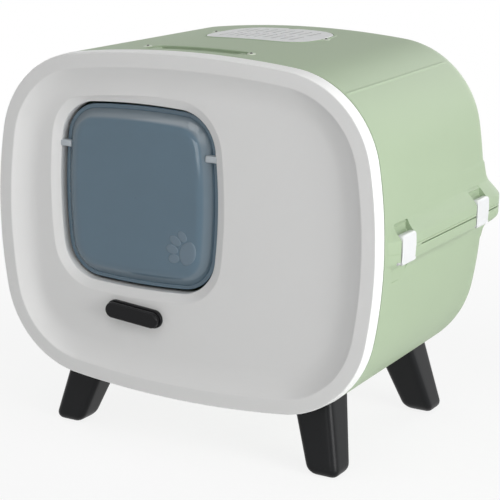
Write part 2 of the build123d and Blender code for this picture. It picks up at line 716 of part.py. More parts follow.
def panel_screws():
    """Four identical screws from inside the tub into the front panel's bosses."""
    screws = []
    seat = BODY_FRONT + WALL
    for side in (-1, 1):
        for x, z in PANEL_SCREWS:
            shank = rod_y(side * x, z, PANEL_SCREW_R, seat - PANEL_SCREW_L, seat)
            head = rod_y(side * x, z, PANEL_SCREW_HEAD_R, seat, seat + PANEL_SCREW_HEAD_H)
            screws.append(shank + head)
    return Compound(children=screws)


def carry_handle():
    """A grip bar on two short arms that lie in the hood's pocket."""
    bar_y = BAIL_AXIS_Y - BAIL_REACH
    bottom = BAIL_TOP - BAIL_T
    half = BAIL_L / 2
    bar = block(-half, half, bar_y - BAIL_BAR / 2, bar_y + BAIL_BAR / 2, bottom, BAIL_TOP)
    for side in (-1, 1):
        near, far = side * (half - BAIL_ARM_W), side * half
        bar += block(min(near, far), max(near, far), bar_y, BAIL_AXIS_Y, bottom, BAIL_TOP)
        bar += rod_x(BAIL_AXIS_Y, BAIL_AXIS_Z, BAIL_T / 2, min(near, far), max(near, far))
    bore = rod_x(BAIL_AXIS_Y, BAIL_AXIS_Z, BAIL_PIN_R + RUNNING_GAP, -BAIL_L, BAIL_L)
    return bar - bore


def handle_pin(side):
    far = side * pin_end()
    near = far - side * BAIL_PIN_L
    return rod_x(BAIL_AXIS_Y, BAIL_AXIS_Z, BAIL_PIN_R, min(near, far), max(near, far))


def slots(z0, z1):
    """Two rows of slots across the filter."""
    cuts = []
    for column in range(SLOT_COLUMNS):
        x = (column - (SLOT_COLUMNS - 1) / 2) * SLOT_PITCH
        for row in (-1, 1):
            shape = Pos(x, FRONT_Y + FILTER_Y + row * SLOT_ROW_Y, z0) * SlotOverall(SLOT_L, SLOT_W, rotation=90)
            cuts.append(extrude(shape, amount=z1 - z0, dir=(0, 0, 1)))
    return cuts


def filter_cover():
    """A slotted lid that follows the hood's curve, with a skirt, and a finger notch in its rear edge."""
    y = FRONT_Y + FILTER_Y
    rise = FILTER_LIP_H + COVER_PROUD
    above = FILTER_TOP_Z + FILTER_SEAT_D
    foot = SEAT_Z + TRAY_RIM_T
    lid = along_z(filter_outline, [(COVER_GAP, foot), (COVER_GAP, above)], y) & raised_form(rise)
    lid = fillet(lid.faces().sort_by(Axis.Z)[-1].edges(), COVER_EDGE)
    inner = COVER_GAP + SKIRT_T
    lid -= along_z(filter_outline, [(inner, foot - 1.0), (inner, above)], y) & raised_form(rise - COVER_T)
    for cut in slots(foot, above):
        lid -= cut
    lid -= rod_z(0.0, FILTER_Y + FILTER_D / 2 + NOTCH_OUT, NOTCH_R, FILTER_TOP_Z - COVER_T, above)
    return lid


def filter_tray():
    """A basket that hangs by its rim in the hood's top, with a slotted floor."""
    y = FRONT_Y + FILTER_Y
    hang = FILTER_LEDGE + TRAY_GAP
    floor = SEAT_Z - TRAY_D
    tray = along_z(filter_outline, [(COVER_GAP, SEAT_Z), (COVER_GAP, SEAT_Z + TRAY_RIM_T)], y)
    tray += along_z(filter_outline, [(hang, floor), (hang, SEAT_Z + TRAY_RIM_T / 2)], y)
    tray -= along_z(filter_outline, [(hang + TRAY_T, floor + TRAY_T), (hang + TRAY_T, SEAT_Z + 5.0)], y)
    for cut in slots(floor - 1.0, floor + TRAY_T + 1.0):
        tray -= cut
    return tray


def filter_pad():
    """A pad of filter foam on the tray's floor."""
    inset = FILTER_LEDGE + TRAY_GAP + TRAY_T + PAD_GAP
    bottom = SEAT_Z - TRAY_D + TRAY_T
    return along_z(filter_outline, [(inset, bottom), (inset, bottom + PAD_T)], FRONT_Y + FILTER_Y)


def build_all():
    """Every node's name with its shape."""
    form = shell()
    parts = {
        "front_panel": front_panel(),
        "door_flap": door_flap(),
        "flap_pin_left": flap_pin(-1),
        "flap_pin_right": flap_pin(1),
        "lock_base": lock_base(),
        "lock_cap": lock_cap(),
        "lock_washer": lock_washer(),
        "lock_retainer": lock_retainer(),
        "hood": hood(form),
        "base_tub": base_tub(form),
        "carry_handle": carry_handle(),
        "handle_pin_left": handle_pin(-1),
        "handle_pin_right": handle_pin(1),
        "filter_cover": filter_cover(),
        "filter_pad": filter_pad(),
        "filter_tray": filter_tray(),
        "leg_screws": leg_screws(),
        "panel_screws": panel_screws(),
    }
    for side, side_name in ((-1, "left"), (1, "right")):
        for depth, end_name in zip(CLIP_Y, ("front", "rear")):
            parts[f"clip_{end_name}_{side_name}"] = clip(side, depth)
            parts[f"clip_pin_{end_name}_{side_name}"] = clip_pin(side, depth)
    for side, front, lean in every_leg():
        end_name = "front" if lean > 0 else "rear"
        side_name = "left" if side < 0 else "right"
        parts[f"leg_{end_name}_{side_name}"] = leg(side, front, lean)
    return parts


os.makedirs("parts", exist_ok=True)
for name, shape in build_all().items():
    export_step(shape, f"parts/{name}.step")
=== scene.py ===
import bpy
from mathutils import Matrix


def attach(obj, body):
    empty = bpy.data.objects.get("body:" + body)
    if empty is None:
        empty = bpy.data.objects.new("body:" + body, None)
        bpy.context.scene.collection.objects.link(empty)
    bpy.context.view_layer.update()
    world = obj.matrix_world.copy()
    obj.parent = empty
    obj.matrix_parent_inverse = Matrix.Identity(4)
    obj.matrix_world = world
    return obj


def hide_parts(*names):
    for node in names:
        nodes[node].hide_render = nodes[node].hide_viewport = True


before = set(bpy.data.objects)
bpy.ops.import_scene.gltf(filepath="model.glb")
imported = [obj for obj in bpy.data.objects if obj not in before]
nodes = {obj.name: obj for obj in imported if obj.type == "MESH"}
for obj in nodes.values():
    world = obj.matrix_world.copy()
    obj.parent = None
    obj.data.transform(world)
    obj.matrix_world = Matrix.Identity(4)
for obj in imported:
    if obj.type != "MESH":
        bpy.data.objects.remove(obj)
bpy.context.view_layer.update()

import math

import bmesh
import bpy
import numpy as np

MM = 0.001

# The room: a white floor that fades into a white surround, and soft lamps.
# The strongest lamp stands to the right of the box, as the brightness of its right side shows.

class Signal:
    """A shader node's output in arithmetic: each operator adds the Math node that does it."""

    def __init__(self, tree, socket=None):
        self.tree = tree
        self.socket = socket

    def node(self, kind, settings, sockets, output=0):
        """Any node of this tree: its settings come first, then a value or a link for each socket."""
        made = self.tree.nodes.new(kind)
        for name, value in settings.items():
            setattr(made, name, value)
        for name, value in sockets.items():
            if isinstance(value, Signal):
                self.tree.links.new(value.socket, made.inputs[name])
            else:
                made.inputs[name].default_value = value
        return Signal(self.tree, made.outputs[output] if made.outputs else None)

    def maths(self, operation, *values):
        return self.node("ShaderNodeMath", {"operation": operation}, dict(enumerate(values)))

    def __add__(self, other):
        return self.maths("ADD", self, other)

    def __sub__(self, other):
        return self.maths("SUBTRACT", self, other)

    def __rsub__(self, other):
        return self.maths("SUBTRACT", other, self)

    def __mul__(self, other):
        return self.maths("MULTIPLY", self, other)

    def __truediv__(self, other):
        return self.maths("DIVIDE", self, other)

    def __rtruediv__(self, other):
        return self.maths("DIVIDE", other, self)

    __radd__ = __add__
    __rmul__ = __mul__

    def clamped(self):
        """The same value, kept from 0 to 1."""
        return self.node("ShaderNodeClamp", {}, {"Value": self})


def blank_material(name):
    """A material with only its output node, and a signal to start its nodes from."""
    material = bpy.data.materials.new(name)
    material.use_nodes = True
    material.node_tree.nodes.clear()
    return material, Signal(material.node_tree)


def added(name, data):
    """A new object in the scene."""
    made = bpy.data.objects.new(name, data)
    bpy.context.scene.collection.objects.link(made)
    return made


def seen_directly(start):
    """1 for rays from the camera, off a glossy face or through the flap, and 0 for rays that light things."""
    rays = [
        start.node("ShaderNodeLightPath", {}, {}, output=kind)
        for kind in ("Is Camera Ray", "Is Glossy Ray", "Is Transmission Ray")
    ]
    return (rays[0] + rays[1] + rays[2]).clamped()


FLOOR_HALF, FLOOR_Z = 9.0, -0.0003
FLOOR_FADE = (0.45, 1.6)
FLOOR_MATT = (0.92, 0.92, 0.92, 1.0)
WHITE_NEAR, WHITE_MORE = 0.85, 0.15
WHITE = (1.0, 1.0, 1.0, 1.0)
floor_mesh = bpy.data.meshes.new("floor")
corners = [(-1, -1), (1, -1), (1, 1), (-1, 1)]
floor_mesh.from_pydata([(x * FLOOR_HALF, y * FLOOR_HALF, FLOOR_Z) for x, y in corners], [], [(0, 1, 2, 3)])
added("floor", floor_mesh)

floor_paint, start = blank_material("white_floor")
place = start.node("ShaderNodeTexCoord", {}, {}, output="Object")
far = start.node("ShaderNodeVectorMath", {"operation": "LENGTH"}, {0: place}, output="Value")
fade = ((far - FLOOR_FADE[0]) / (FLOOR_FADE[1] - FLOOR_FADE[0])).clamped()
share = seen_directly(start) * (WHITE_NEAR + WHITE_MORE * fade)
matt = start.node("ShaderNodeBsdfDiffuse", {}, {"Color": FLOOR_MATT})
white = start.node("ShaderNodeEmission", {}, {"Color": WHITE, "Strength": 1.0})
mixed = start.node("ShaderNodeMixShader", {}, {0: share, 1: matt, 2: white})
start.node("ShaderNodeOutputMaterial", {}, {"Surface": mixed})
floor_mesh.materials.append(floor_paint)

SKY_TONE, SKY_STRENGTH = (0.97, 0.985, 1.0, 1.0), 0.17
world = bpy.data.worlds.new("surround")
world.use_nodes = True
world.node_tree.nodes.clear()
start = Signal(world.node_tree)
dim = start.node("ShaderNodeBackground", {}, {"Color": SKY_TONE, "Strength": SKY_STRENGTH})
plain = start.node("ShaderNodeBackground", {}, {"Color": WHITE, "Strength": 1.0})
mixed = start.node("ShaderNodeMixShader", {}, {0: seen_directly(start), 1: dim, 2: plain})
start.node("ShaderNodeOutputWorld", {}, {"Surface": mixed})
bpy.context.scene.world = world

# Each lamp's place, the length of its side, and its power.
LAMPS = {
    "right": ((2.3, -0.5, 1.0), 1.5, 27.0),
    "low_right": ((2.1, -0.7, 0.45), 0.8, 12.0),
    "front_right": ((1.45, -2.1, 1.7), 1.4, 6.0),
    "front_high": ((0.3, -1.7, 2.7), 1.4, 11.0),
    "front_left": ((-0.85, -1.5, 2.1), 1.0, 3.5),
    "low_front": ((0.1, -2.3, 0.42), 0.8, 4.0),
    "left": ((-2.3, 0.8, 0.75), 1.4, 15.0),
    "rear": ((0.4, 2.3, 1.1), 1.4, 12.0),
}
BOX_MIDDLE = (0.0, 0.0, 0.25)
for name, (place, size, power) in LAMPS.items():
    light = bpy.data.lights.new(name + "_lamp", "AREA")
    light.size = size
    light.energy = power
    holder = added(light.name, light)
    away = np.array(place) - BOX_MIDDLE
    flat = math.hypot(away[0], away[1])
    holder.rotation_euler = (math.atan2(flat, away[2]), 0.0, math.atan2(away[1], away[0]) + math.pi / 2)
    holder.location = place

# The camera stands to the right of the front and a little above the box.
# Its place, tilt and focal length come from the lines of the box in the photograph.

CAMERA_PLACE = (0.94199, -1.66196, 0.68533)
CAMERA_TURN = math.radians(32.072)
CAMERA_DIP = math.radians(15.811)
SENSOR = 36.0
FOCAL_PIXELS = 1594.59
IMAGE_SIDE = 500.0
AXIS_PIXEL = (186.03, 301.38)
camera_data = bpy.data.cameras.new("camera")
camera_data.sensor_width = SENSOR
camera_data.lens = FOCAL_PIXELS / IMAGE_SIDE * SENSOR
camera_data.shift_x = 0.5 - AXIS_PIXEL[0] / IMAGE_SIDE
camera_data.shift_y = AXIS_PIXEL[1] / IMAGE_SIDE - 0.5
camera = added("camera", camera_data)
camera.location = CAMERA_PLACE
camera.rotation_euler = (math.pi / 2 - CAMERA_DIP, 0.0, CAMERA_TURN)
bpy.context.scene.camera = camera
bpy.context.scene.view_settings.view_transform = "Standard"

# The tub: the lower half of the shell, moulded in sage green polypropylene with a fine spark-eroded grain.
# A flange runs round its upper edge, with a pocket for each clip.

MOTTLE_SCALE, GLOSS_CHANGE = 9.0, 0.05


def plastic(name, colour, roughness, grain_scale, grain_depth, mottle=0.03, specular=0.5, alpha=1.0,
            second=None):
    """Moulded plastic: a fine grain in the bump, and slow changes of colour and gloss over the surface.

    A second colour, given with an attribute's name, is mixed in by the attribute's value at each point."""
    material, start = blank_material(name)
    place = start.node("ShaderNodeTexCoord", {}, {}, output="Object")
    slow = start.node("ShaderNodeTexNoise", {}, {"Vector": place, "Scale": MOTTLE_SCALE, "Detail": 3.0})
    fine = start.node("ShaderNodeTexNoise", {}, {"Vector": place, "Scale": grain_scale, "Detail": 2.0})
    shade = (slow - 0.5) * mottle * 2.0 + (fine - 0.5) * mottle + 1.0
    tone = start.node("ShaderNodeVectorMath", {"operation": "SCALE"}, {0: colour, "Scale": shade})
    if second:
        attribute, other = second
        share = start.node("ShaderNodeAttribute", {"attribute_name": attribute}, {}, output="Fac")
        values = {0: share, 6: tone, 7: (*other, 1.0)}
        tone = start.node("ShaderNodeMix", {"data_type": "RGBA"}, values, output=2)
    gloss = roughness + (slow - 0.5) * GLOSS_CHANGE + (fine - 0.5) * GLOSS_CHANGE
    bump = start.node("ShaderNodeBump", {}, {"Height": fine, "Distance": grain_depth, "Strength": 1.0})
    shader = start.node("ShaderNodeBsdfPrincipled", {}, {
        "Base Color": tone, "Roughness": gloss, "Normal": bump,
        "Specular IOR Level": specular, "Alpha": alpha,
    })
    start.node("ShaderNodeOutputMaterial", {}, {"Surface": shader})
    return material


SAGE = (0.388, 0.484, 0.330)
sage_plastic = plastic("sage_plastic", SAGE, 0.50, 1500.0, 0.00003, specular=0.28)


def paint(node, material):
    """Gives a CAD node its finish."""
    nodes[node].data.materials.clear()
    nodes[node].data.materials.append(material)


# The front outline: its width and height, and the radii of its top, side and corner arcs.
FRONT = (500.0, 400.0, 1188.0, 550.0, 115.5)
CENTRE_Z = 270.0
FRONT_Y = -183.0


def corner_centre(half_w, half_h, flat, side, corner):
    """Centre of the corner arc: where two circles about the flat and side arcs' centres meet.

    Their radii are those of the flat and side arcs less that of the corner."""
    flat_z, side_x = half_h - flat, half_w - side
    length = np.hypot(side_x, flat_z)
    reach = flat - corner
    along = (reach**2 - (side - corner) ** 2 + length**2) / (2 * length)
    out = np.sqrt(reach**2 - along**2)
    return (side_x * along - flat_z * out) / length, flat_z - (flat_z * along + side_x * out) / length


def inside_outline(x, z, half_w, half_h, radii):
    """How far each point lies inside a rounded outline.

    It is the radius of the nearest arc less the distance to that arc's centre."""
    flat, side, corner = radii
    px, pz = np.abs(x), np.abs(z)
    centre_x, centre_z = corner_centre(half_w, half_h, *radii)
    flat_z, side_x = half_h - flat, half_w - side
    over = centre_x * (pz - flat_z) - (centre_z - flat_z) * px > 0
    under = (centre_x - side_x) * pz - centre_z * (px - side_x) < 0
    from_flat = flat - np.hypot(px, pz - flat_z)
    from_side = side - np.hypot(px - side_x, pz)
    from_corner = corner - np.hypot(px - centre_x, pz - centre_z)
    return np.where(over, from_flat, np.where(under, from_side, from_corner))


BODY_FRONT, BODY_REAR, BODY_STEP = 20.5, 356.0, 1.0
SIDE_DRAFT, TOP_RISE, REAR_ROUND = 0.031, 0.005, 48.0


def body_halves(depth):
    """Half the section's width and height: with depth the sides draw in and the top and floor spread."""
    run = depth - BODY_FRONT
    return FRONT[0] / 2 - SIDE_DRAFT * run, FRONT[1] / 2 + TOP_RISE * run


def round_meet(side, back, radius):
    """How far a point lies inside two faces that meet in a round edge, from how far it lies inside each."""
    rounded = radius - np.hypot(np.maximum(radius - side, 0.0), np.maximum(radius - back, 0.0))
    return np.where((side < radius) & (back < radius), rounded, np.minimum(side, back))


def inside_body(x, y, z, wall=0.0):
    """How far each point lies inside the shell's outer face, or a face that lies a wall further in."""
    depth = y - FRONT_Y
    side = inside_outline(x, z - CENTRE_Z, *body_halves(depth), FRONT[2:]) + BODY_STEP - wall
    return round_meet(side, BODY_REAR - wall - depth, REAR_ROUND - wall)


FLANGE_HALF = 260.0
FLANGE_REAR = 366.0
FLANGE_ROUND = 54.0
FLANGE_START = (22.0, 43.0)
FLANGE_ABOVE = (
    (0.0, 13.6, 15.6, 18.3, 20.8, 25.8, 31.0, 36.0, 44.0, 52.0, 62.0),
    (0.0, 0.0, 1.1, 3.1, 5.4, 10.1, 14.6, 17.3, 19.7, 22.0, 40.0),
)
FLANGE_BELOW = (
    (0.0, 8.5, 11.0, 13.2, 15.4, 20.8, 25.0, 30.2, 38.4, 50.0),
    (0.0, 0.0, 0.7, 2.2, 4.4, 11.8, 15.9, 19.2, 22.5, 40.0),
)
FLANGE_SOFT = 0.6
FLANGE_BLEND = (1.5, 8.0, 40.0)


def ramp(value, run):
    """0 up to where the value is 0, then rising evenly to 1 over the run."""
    return np.clip(value / run, 0.0, 1.0)


def softened(place, table, reach):
    """A table of values read at each place and averaged over a short stretch, which rounds its corners."""
    shifts = np.linspace(-reach, reach, 7)
    return np.mean([np.interp(place + shift, *table) for shift in shifts], axis=0)


def inside_flange(x, y, z):
    """How far each point lies inside the flange: its plan outline, moved in more further from the seam."""
    depth = y - FRONT_Y
    start, full = FLANGE_START
    grown = (FLANGE_HALF - FRONT[0] / 2) * ramp(depth - start, full - start)
    plan = round_meet(FRONT[0] / 2 + grown - np.abs(x), FLANGE_REAR - depth, FLANGE_ROUND)
    rise = z - CENTRE_Z
    above = softened(rise, FLANGE_ABOVE, FLANGE_SOFT)
    below = softened(-rise, FLANGE_BELOW, FLANGE_SOFT)
    return plan - np.where(rise > 0, above, below)


def inside_shell(x, y, z):
    """The body and the flange joined by a fillet: the greater value, raised a little where both are close."""
    body, flange = inside_body(x, y, z), inside_flange(x, y, z)
    least, most, reach = FLANGE_BLEND
    width = least + (most - least) * ramp(y - FRONT_Y - FLANGE_START[0], reach)
    close = np.maximum(width - np.abs(body - flange), 0.0)
    return np.maximum(body, flange) + close**2 / (4 * width)


def cast(origin, direction, reach, inside):
    """Where rays from inside a form leave it, found by halving the stretch 30 times."""
    low, high = np.zeros(origin.shape[:-1]), np.full(origin.shape[:-1], reach)
    for _ in range(30):
        middle = (low + high) / 2
        within = inside(*np.moveaxis(origin + direction * middle[..., None], -1, 0)) > 0
        low, high = np.where(within, middle, low), np.where(within, high, middle)
    return origin + direction * low[..., None]


RIDGE_TURN = math.radians(52.2)
ARC_RADII = np.array([FRONT[3], FRONT[4], FRONT[4], FRONT[2]])


def unit(turn):
    """Unit vectors at the given turns: their cosines and sines."""
    return np.stack([np.cos(turn), np.sin(turn)], axis=-1)


def section_arcs(depth):
    """Centres and turns of a quarter section's arcs at each depth.

    The arcs are the side, the corner up to the ridge, the rest of the corner, and the top."""
    flat, side, corner = FRONT[2:]
    half_w, half_h = body_halves(depth)
    centre_x, centre_z = corner_centre(half_w, half_h, flat, side, corner)
    none = np.zeros_like(centre_x)
    low = np.arctan2(centre_z, centre_x - half_w + side)
    high = np.arctan2(centre_z - half_h + flat, centre_x)
    centres = np.array([
        [half_w - side, none], [centre_x, centre_z], [centre_x, centre_z], [none, half_h - flat],
    ])
    return centres, np.array([none, low, none + RIDGE_TURN, high, none + math.pi / 2])


FRONT_ENDS = np.concatenate([[0.0], np.cumsum(ARC_RADII * np.diff(section_arcs(np.array(BODY_FRONT))[1]))])


def section(arcs, depth):
    """Points and outward normals of the section at each depth, for lengths along the front outline.

    Each point keeps its share of its own arc while the section narrows towards the rear."""
    half_way = FRONT_ENDS[-1]
    folded = np.minimum(arcs, 2 * half_way - arcs)
    which = np.clip(np.searchsorted(FRONT_ENDS, folded, side="right") - 1, 0, 3)
    share = ((folded - FRONT_ENDS[which]) / np.diff(FRONT_ENDS)[which])[:, None]
    centres, turns = section_arcs(depth)
    normal = unit(turns[which] * (1 - share) + turns[which + 1] * share)
    spot = np.moveaxis(centres[which], 1, -1) + ARC_RADII[which][:, None, None] * normal
    flip = np.stack([np.where(arcs > half_way, -1.0, 1.0), np.ones(len(arcs))], axis=-1)[:, None]
    return spot * flip, normal * flip


CLIP_DEPTHS = (61.0, 270.0)
BOSS_HALF, BOSS_TOP, BOSS_D, BOSS_SIDE_RUN, BOSS_TOP_RUN = 27.0, 44.0, 7.0, 3.0, 4.0
REVEAL_START, REVEAL_H, REVEAL_D, REVEAL_RUN = 95.0, 1.5, 3.2, 0.8
STEP_LINE_Z, STEP_LINE_W, STEP_LINE_D = 4.6, 0.9, 0.45
STEP_LINE_START, STEP_LINE_RUN = 50.0, 30.0
SEAM_EDGE = 0.3
LIP_INSET = 12.0
WALL = 3.0
FIRST_ARC = 66.0
RIDGE_H, RIDGE_W = 0.75, 1.4
RIDGE_START, RIDGE_START_RUN, RIDGE_END, RIDGE_END_RUN = 23.0, 3.0, 306.0, 8.0
CAST_FROM_X, CAST_REACH = 150.0, 130.0
LIP_PROFILE = np.array([
    (-0.95, 20.9), (-0.6, 20.55), (0.0, 20.5), (3.4, 20.5), (3.4, 18.6), (6.4, 18.6), (6.4, 20.5),
    (LIP_INSET, 20.5), (LIP_INSET, BODY_FRONT + WALL),
])


def seam_recess(levels, depth, above):
    """How far the face lies in near the seam: a small edge, and on the hood also a groove and a fine line."""
    edge = np.maximum(SEAM_EDGE - levels, 0.0)[:, None] + 0.0 * depth
    if not above:
        return edge
    groove = REVEAL_D * (levels < REVEAL_H)[:, None] * ramp(depth - REVEAL_START, REVEAL_RUN)
    in_line = (levels < STEP_LINE_Z) & (levels > STEP_LINE_Z - STEP_LINE_W)
    step = STEP_LINE_D * in_line[:, None] * ramp(depth - STEP_LINE_START, STEP_LINE_RUN)
    return np.maximum(np.maximum(edge, groove), step)


def shell_half(sign, levels):
    """Half of the shell as one closed grid of points: a side's wall, the crown, and the other side's wall.

    Rows run from the seam on the right over the crown to the seam on the left. Columns run from the inner
    face's rear over the front lip to the outer face's rear. The walls are cast sideways on to the joined
    body and flange, and the crown is the drafted outline with its rounded rear."""
    # Columns stand closest behind the front edge and on both sides of the groove's start.
    depths = np.concatenate([
        np.arange(21.3, 46.0, 2.6), np.arange(48.0, REVEAL_START - 3.0, 6.0),
        [REVEAL_START - 0.4, REVEAL_START + 0.4],
        np.arange(REVEAL_START + 5.0, BODY_REAR - REAR_ROUND - 3.0, 7.0), [BODY_REAR - REAR_ROUND],
    ])
    turns = np.linspace(0.0, math.pi / 2, 17)[1:]
    back_shares = np.linspace(0.0, 1.0, 26)[1:] ** 0.9
    half_way, ridge = FRONT_ENDS[-1], FRONT_ENDS[2]
    near_ridge = np.arange(-4.5, 4.51, 0.5) + ridge if sign > 0 else np.array([])
    arcs = np.arange(FIRST_ARC + 4.0, half_way - 1.5, 4.0)
    if sign > 0:
        arcs = arcs[np.abs(arcs - ridge) > 5.0]
    arcs = np.sort(np.concatenate([arcs, near_ridge]))
    arcs = np.concatenate([[FIRST_ARC], arcs, [half_way]])
    arcs = np.concatenate([arcs, 2 * half_way - arcs[-2::-1]])
    mirror = np.array([-1.0, 1.0, 1.0])

    def crown_rows(wall):
        """Rows over the crown and down the rear wall, on the outer face or the inner one."""
        radius, rear = REAR_ROUND - wall, BODY_REAR - wall
        depth = np.concatenate([depths, rear - radius * (1 - np.sin(turns))])
        if wall:
            depth[0] = BODY_FRONT + wall
        spot, normal = section(arcs, depth)
        side = np.concatenate([np.zeros(len(depths)), radius * (1 - np.cos(turns))])
        inset = np.broadcast_to(side + wall - BODY_STEP, spot.shape[:2])
        if sign > 0 and not wall:
            off = np.minimum(np.abs(arcs - ridge), np.abs(arcs - 2 * half_way + ridge))
            along = ramp(depth - RIDGE_START, RIDGE_START_RUN) * ramp(RIDGE_END - depth, RIDGE_END_RUN)
            inset = inset - RIDGE_H * np.exp(-(off / RIDGE_W) ** 2)[:, None] * along[None]
        flat = spot - normal * inset[..., None]
        rows = np.stack([flat[..., 0], np.broadcast_to(depth + FRONT_Y, inset.shape), flat[..., 1]], axis=-1)
        pole = np.array([0.0, rows[0, -1, 1], rows[0, -1, 2]])
        shares = back_shares[None, :, None]
        wall_rows = rows[:, -1:] * (1 - shares) + pole * shares
        return np.concatenate([rows, wall_rows], axis=1) + (0.0, 0.0, CENTRE_Z)

    def side_rows(wall, edge_row):
        """Rows between the seam and the crown, cast from inside the box."""
        centre_x = edge_row[len(depths) + len(turns) - 1, 0]
        centre_y = BODY_REAR - REAR_ROUND + FRONT_Y
        first = depths if not wall else np.concatenate([[BODY_FRONT + wall], depths[1:]])
        from_x = np.concatenate([
            np.full(len(depths), CAST_FROM_X), np.full(len(turns), centre_x), centre_x * (1 - back_shares),
        ])
        from_y = np.concatenate([first + FRONT_Y, np.full(len(turns) + len(back_shares), centre_y)])
        way_x = np.concatenate([np.ones(len(depths)), np.cos(turns), np.zeros(len(back_shares))])
        way_y = np.concatenate([np.zeros(len(depths)), np.sin(turns), np.ones(len(back_shares))])
        shape = (len(levels), len(from_x))
        heights = levels[:, None] + CENTRE_Z
        start = np.stack([np.broadcast_to(values, shape) for values in (from_x, from_y, heights)], axis=-1)
        way = np.stack([np.broadcast_to(values, shape) for values in (way_x, way_y, 0.0)], axis=-1)
        if wall:
            spots = cast(start, way, CAST_REACH, lambda x, y, z: inside_body(x, y, z, wall))
            near = np.min([np.abs(from_y - FRONT_Y - middle) for middle in CLIP_DEPTHS], axis=0)
            boss = ramp(BOSS_HALF - near, BOSS_SIDE_RUN) * ramp(BOSS_TOP - levels[:, None], BOSS_TOP_RUN)
            return spots - way * (BOSS_D * boss)[..., None]
        turned_up = CENTRE_Z * (1 - sign)
        spots = cast(start, way, CAST_REACH, lambda x, y, z: inside_shell(x, y, turned_up + sign * z))
        depth = np.concatenate([depths, np.full(len(turns) + len(back_shares), BODY_REAR)])
        return spots - way * seam_recess(levels, depth, sign > 0)[..., None]

    def lip_rows(row_arcs):
        """The front lip's section: an edge, the neck that reaches to the panel, and the return inside."""
        spot, normal = section(row_arcs, np.array([BODY_FRONT]))
        flat = spot - normal * LIP_PROFILE[None, :, :1]
        y = np.broadcast_to(LIP_PROFILE[:, 1] + FRONT_Y, flat.shape[:2])
        return np.stack([flat[..., 0], y, flat[..., 1] + CENTRE_Z], axis=-1)

    outer, inner = crown_rows(0.0), crown_rows(WALL)
    right_outer, right_inner = side_rows(0.0, outer[0]), side_rows(WALL, inner[0])
    side_arcs = FRONT[3] * np.arcsin(levels / FRONT[3])
    lips = lip_rows(np.concatenate([side_arcs, arcs, 2 * half_way - side_arcs[::-1]]))
    outer = np.concatenate([right_outer, outer, right_outer[::-1] * mirror])
    inner = np.concatenate([right_inner, inner, right_inner[::-1] * mirror])
    grid = np.concatenate([inner[:, ::-1], lips[:, ::-1], outer], axis=1)
    grid[..., 2] = CENTRE_Z + sign * (grid[..., 2] - CENTRE_Z)
    rows, columns = grid.shape[:2]
    index = np.arange(rows * columns).reshape(rows, columns)
    squares = np.stack([index[:-1, :-1], index[1:, :-1], index[1:, 1:], index[:-1, 1:]], axis=-1)
    quads = [squares.reshape(-1, 4)]
    many = inner.shape[1]
    for row, turn in ((0, 1), (-1, -1)):
        inside = index[row, :many][::-1]
        outside = index[row, -many:]
        strip = np.stack([inside[:-1], inside[1:], outside[1:], outside[:-1]], axis=-1)
        quads.append(strip[:, ::turn])
    faces = np.concatenate(quads).tolist()
    lip = slice(many - 1, columns - many + 1)
    faces += [index[0, lip].tolist()[::-1], index[-1, lip].tolist()]
    if sign < 0:
        faces = [face[::-1] for face in faces]
    return grid.reshape(-1, 3), faces


def closed_mesh(name, spots, faces):
    """A mesh in metres whose coincident points are merged, with its faces pointing outwards."""
    mesh = bpy.data.meshes.new(name)
    mesh.from_pydata((spots * MM).tolist(), [], faces)
    shape = bmesh.new()
    shape.from_mesh(mesh)
    bmesh.ops.remove_doubles(shape, verts=shape.verts, dist=0.000004)
    bmesh.ops.recalc_face_normals(shape, faces=shape.faces)
    shape.to_mesh(mesh)
    shape.free()
    mesh.shade_smooth()
    return mesh


def show(mesh, material, body, replaced=(), crease=180):
    """Puts a mesh in the scene as a piece on a body. Edges that turn by more than the crease are sharp."""
    mesh.set_sharp_from_angle(angle=math.radians(crease))
    mesh.materials.append(material)
    made = added(mesh.name, mesh)
    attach(made, body)
    if replaced:
        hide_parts(*replaced)
    return made


def grids_mesh(name, grids, looped=False):
    """A mesh from grids of points in millimetres, each (rows, columns, 3) and closed along its columns.

    A grid's first and last rows are joined where looped is set, or else filled with one face each."""
    spots, faces, first = [], [], 0
    for grid in grids:
        rows, columns = grid.shape[:2]
        spots.append(grid.reshape(-1, 3))
        index = first + np.arange(rows * columns).reshape(rows, columns)
        across = np.concatenate([index, index[:1]]) if looped else index
        right = np.roll(across, -1, axis=1)
        faces += np.stack([across[:-1], right[:-1], right[1:], across[1:]], axis=-1).reshape(-1, 4).tolist()
        if not looped:
            faces += [index[0, ::-1].tolist(), index[-1].tolist()]
        first += rows * columns
    return closed_mesh(name, np.concatenate(spots), faces)


def cut_away(mesh, grids):
    """The mesh less the closed forms of the grids, by an exact Boolean."""
    body, tool = added("body", mesh), added("tool", grids_mesh("tool", grids))
    less = body.modifiers.new("less", "BOOLEAN")
    less.operation, less.solver, less.object = "DIFFERENCE", "EXACT", tool
    result = bpy.data.meshes.new_from_object(body.evaluated_get(bpy.context.evaluated_depsgraph_get()))
    name = mesh.name
    for thing in (body, tool):
        used = thing.data
        bpy.data.objects.remove(thing)
        bpy.data.meshes.remove(used)
    result.name = name
    return result


CLIP_W, POCKET_GAP, POCKET_OUT_X = 34.0, 1.2, 285.0
POCKET_CORNER, POCKET_EDGE = 3.4, 0.8
HOOD_POCKET = ((260.0, 258.0), (286.0, 258.0), (286.0, 250.6), (290.0, 246.6), (296.2, 246.4),
               (297.6, 247.6), (301.0, 245.0))
TUB_POCKET = ((236.0, 248.5), (250.0, 248.5), (257.0, 253.4), (280.0, 253.4))


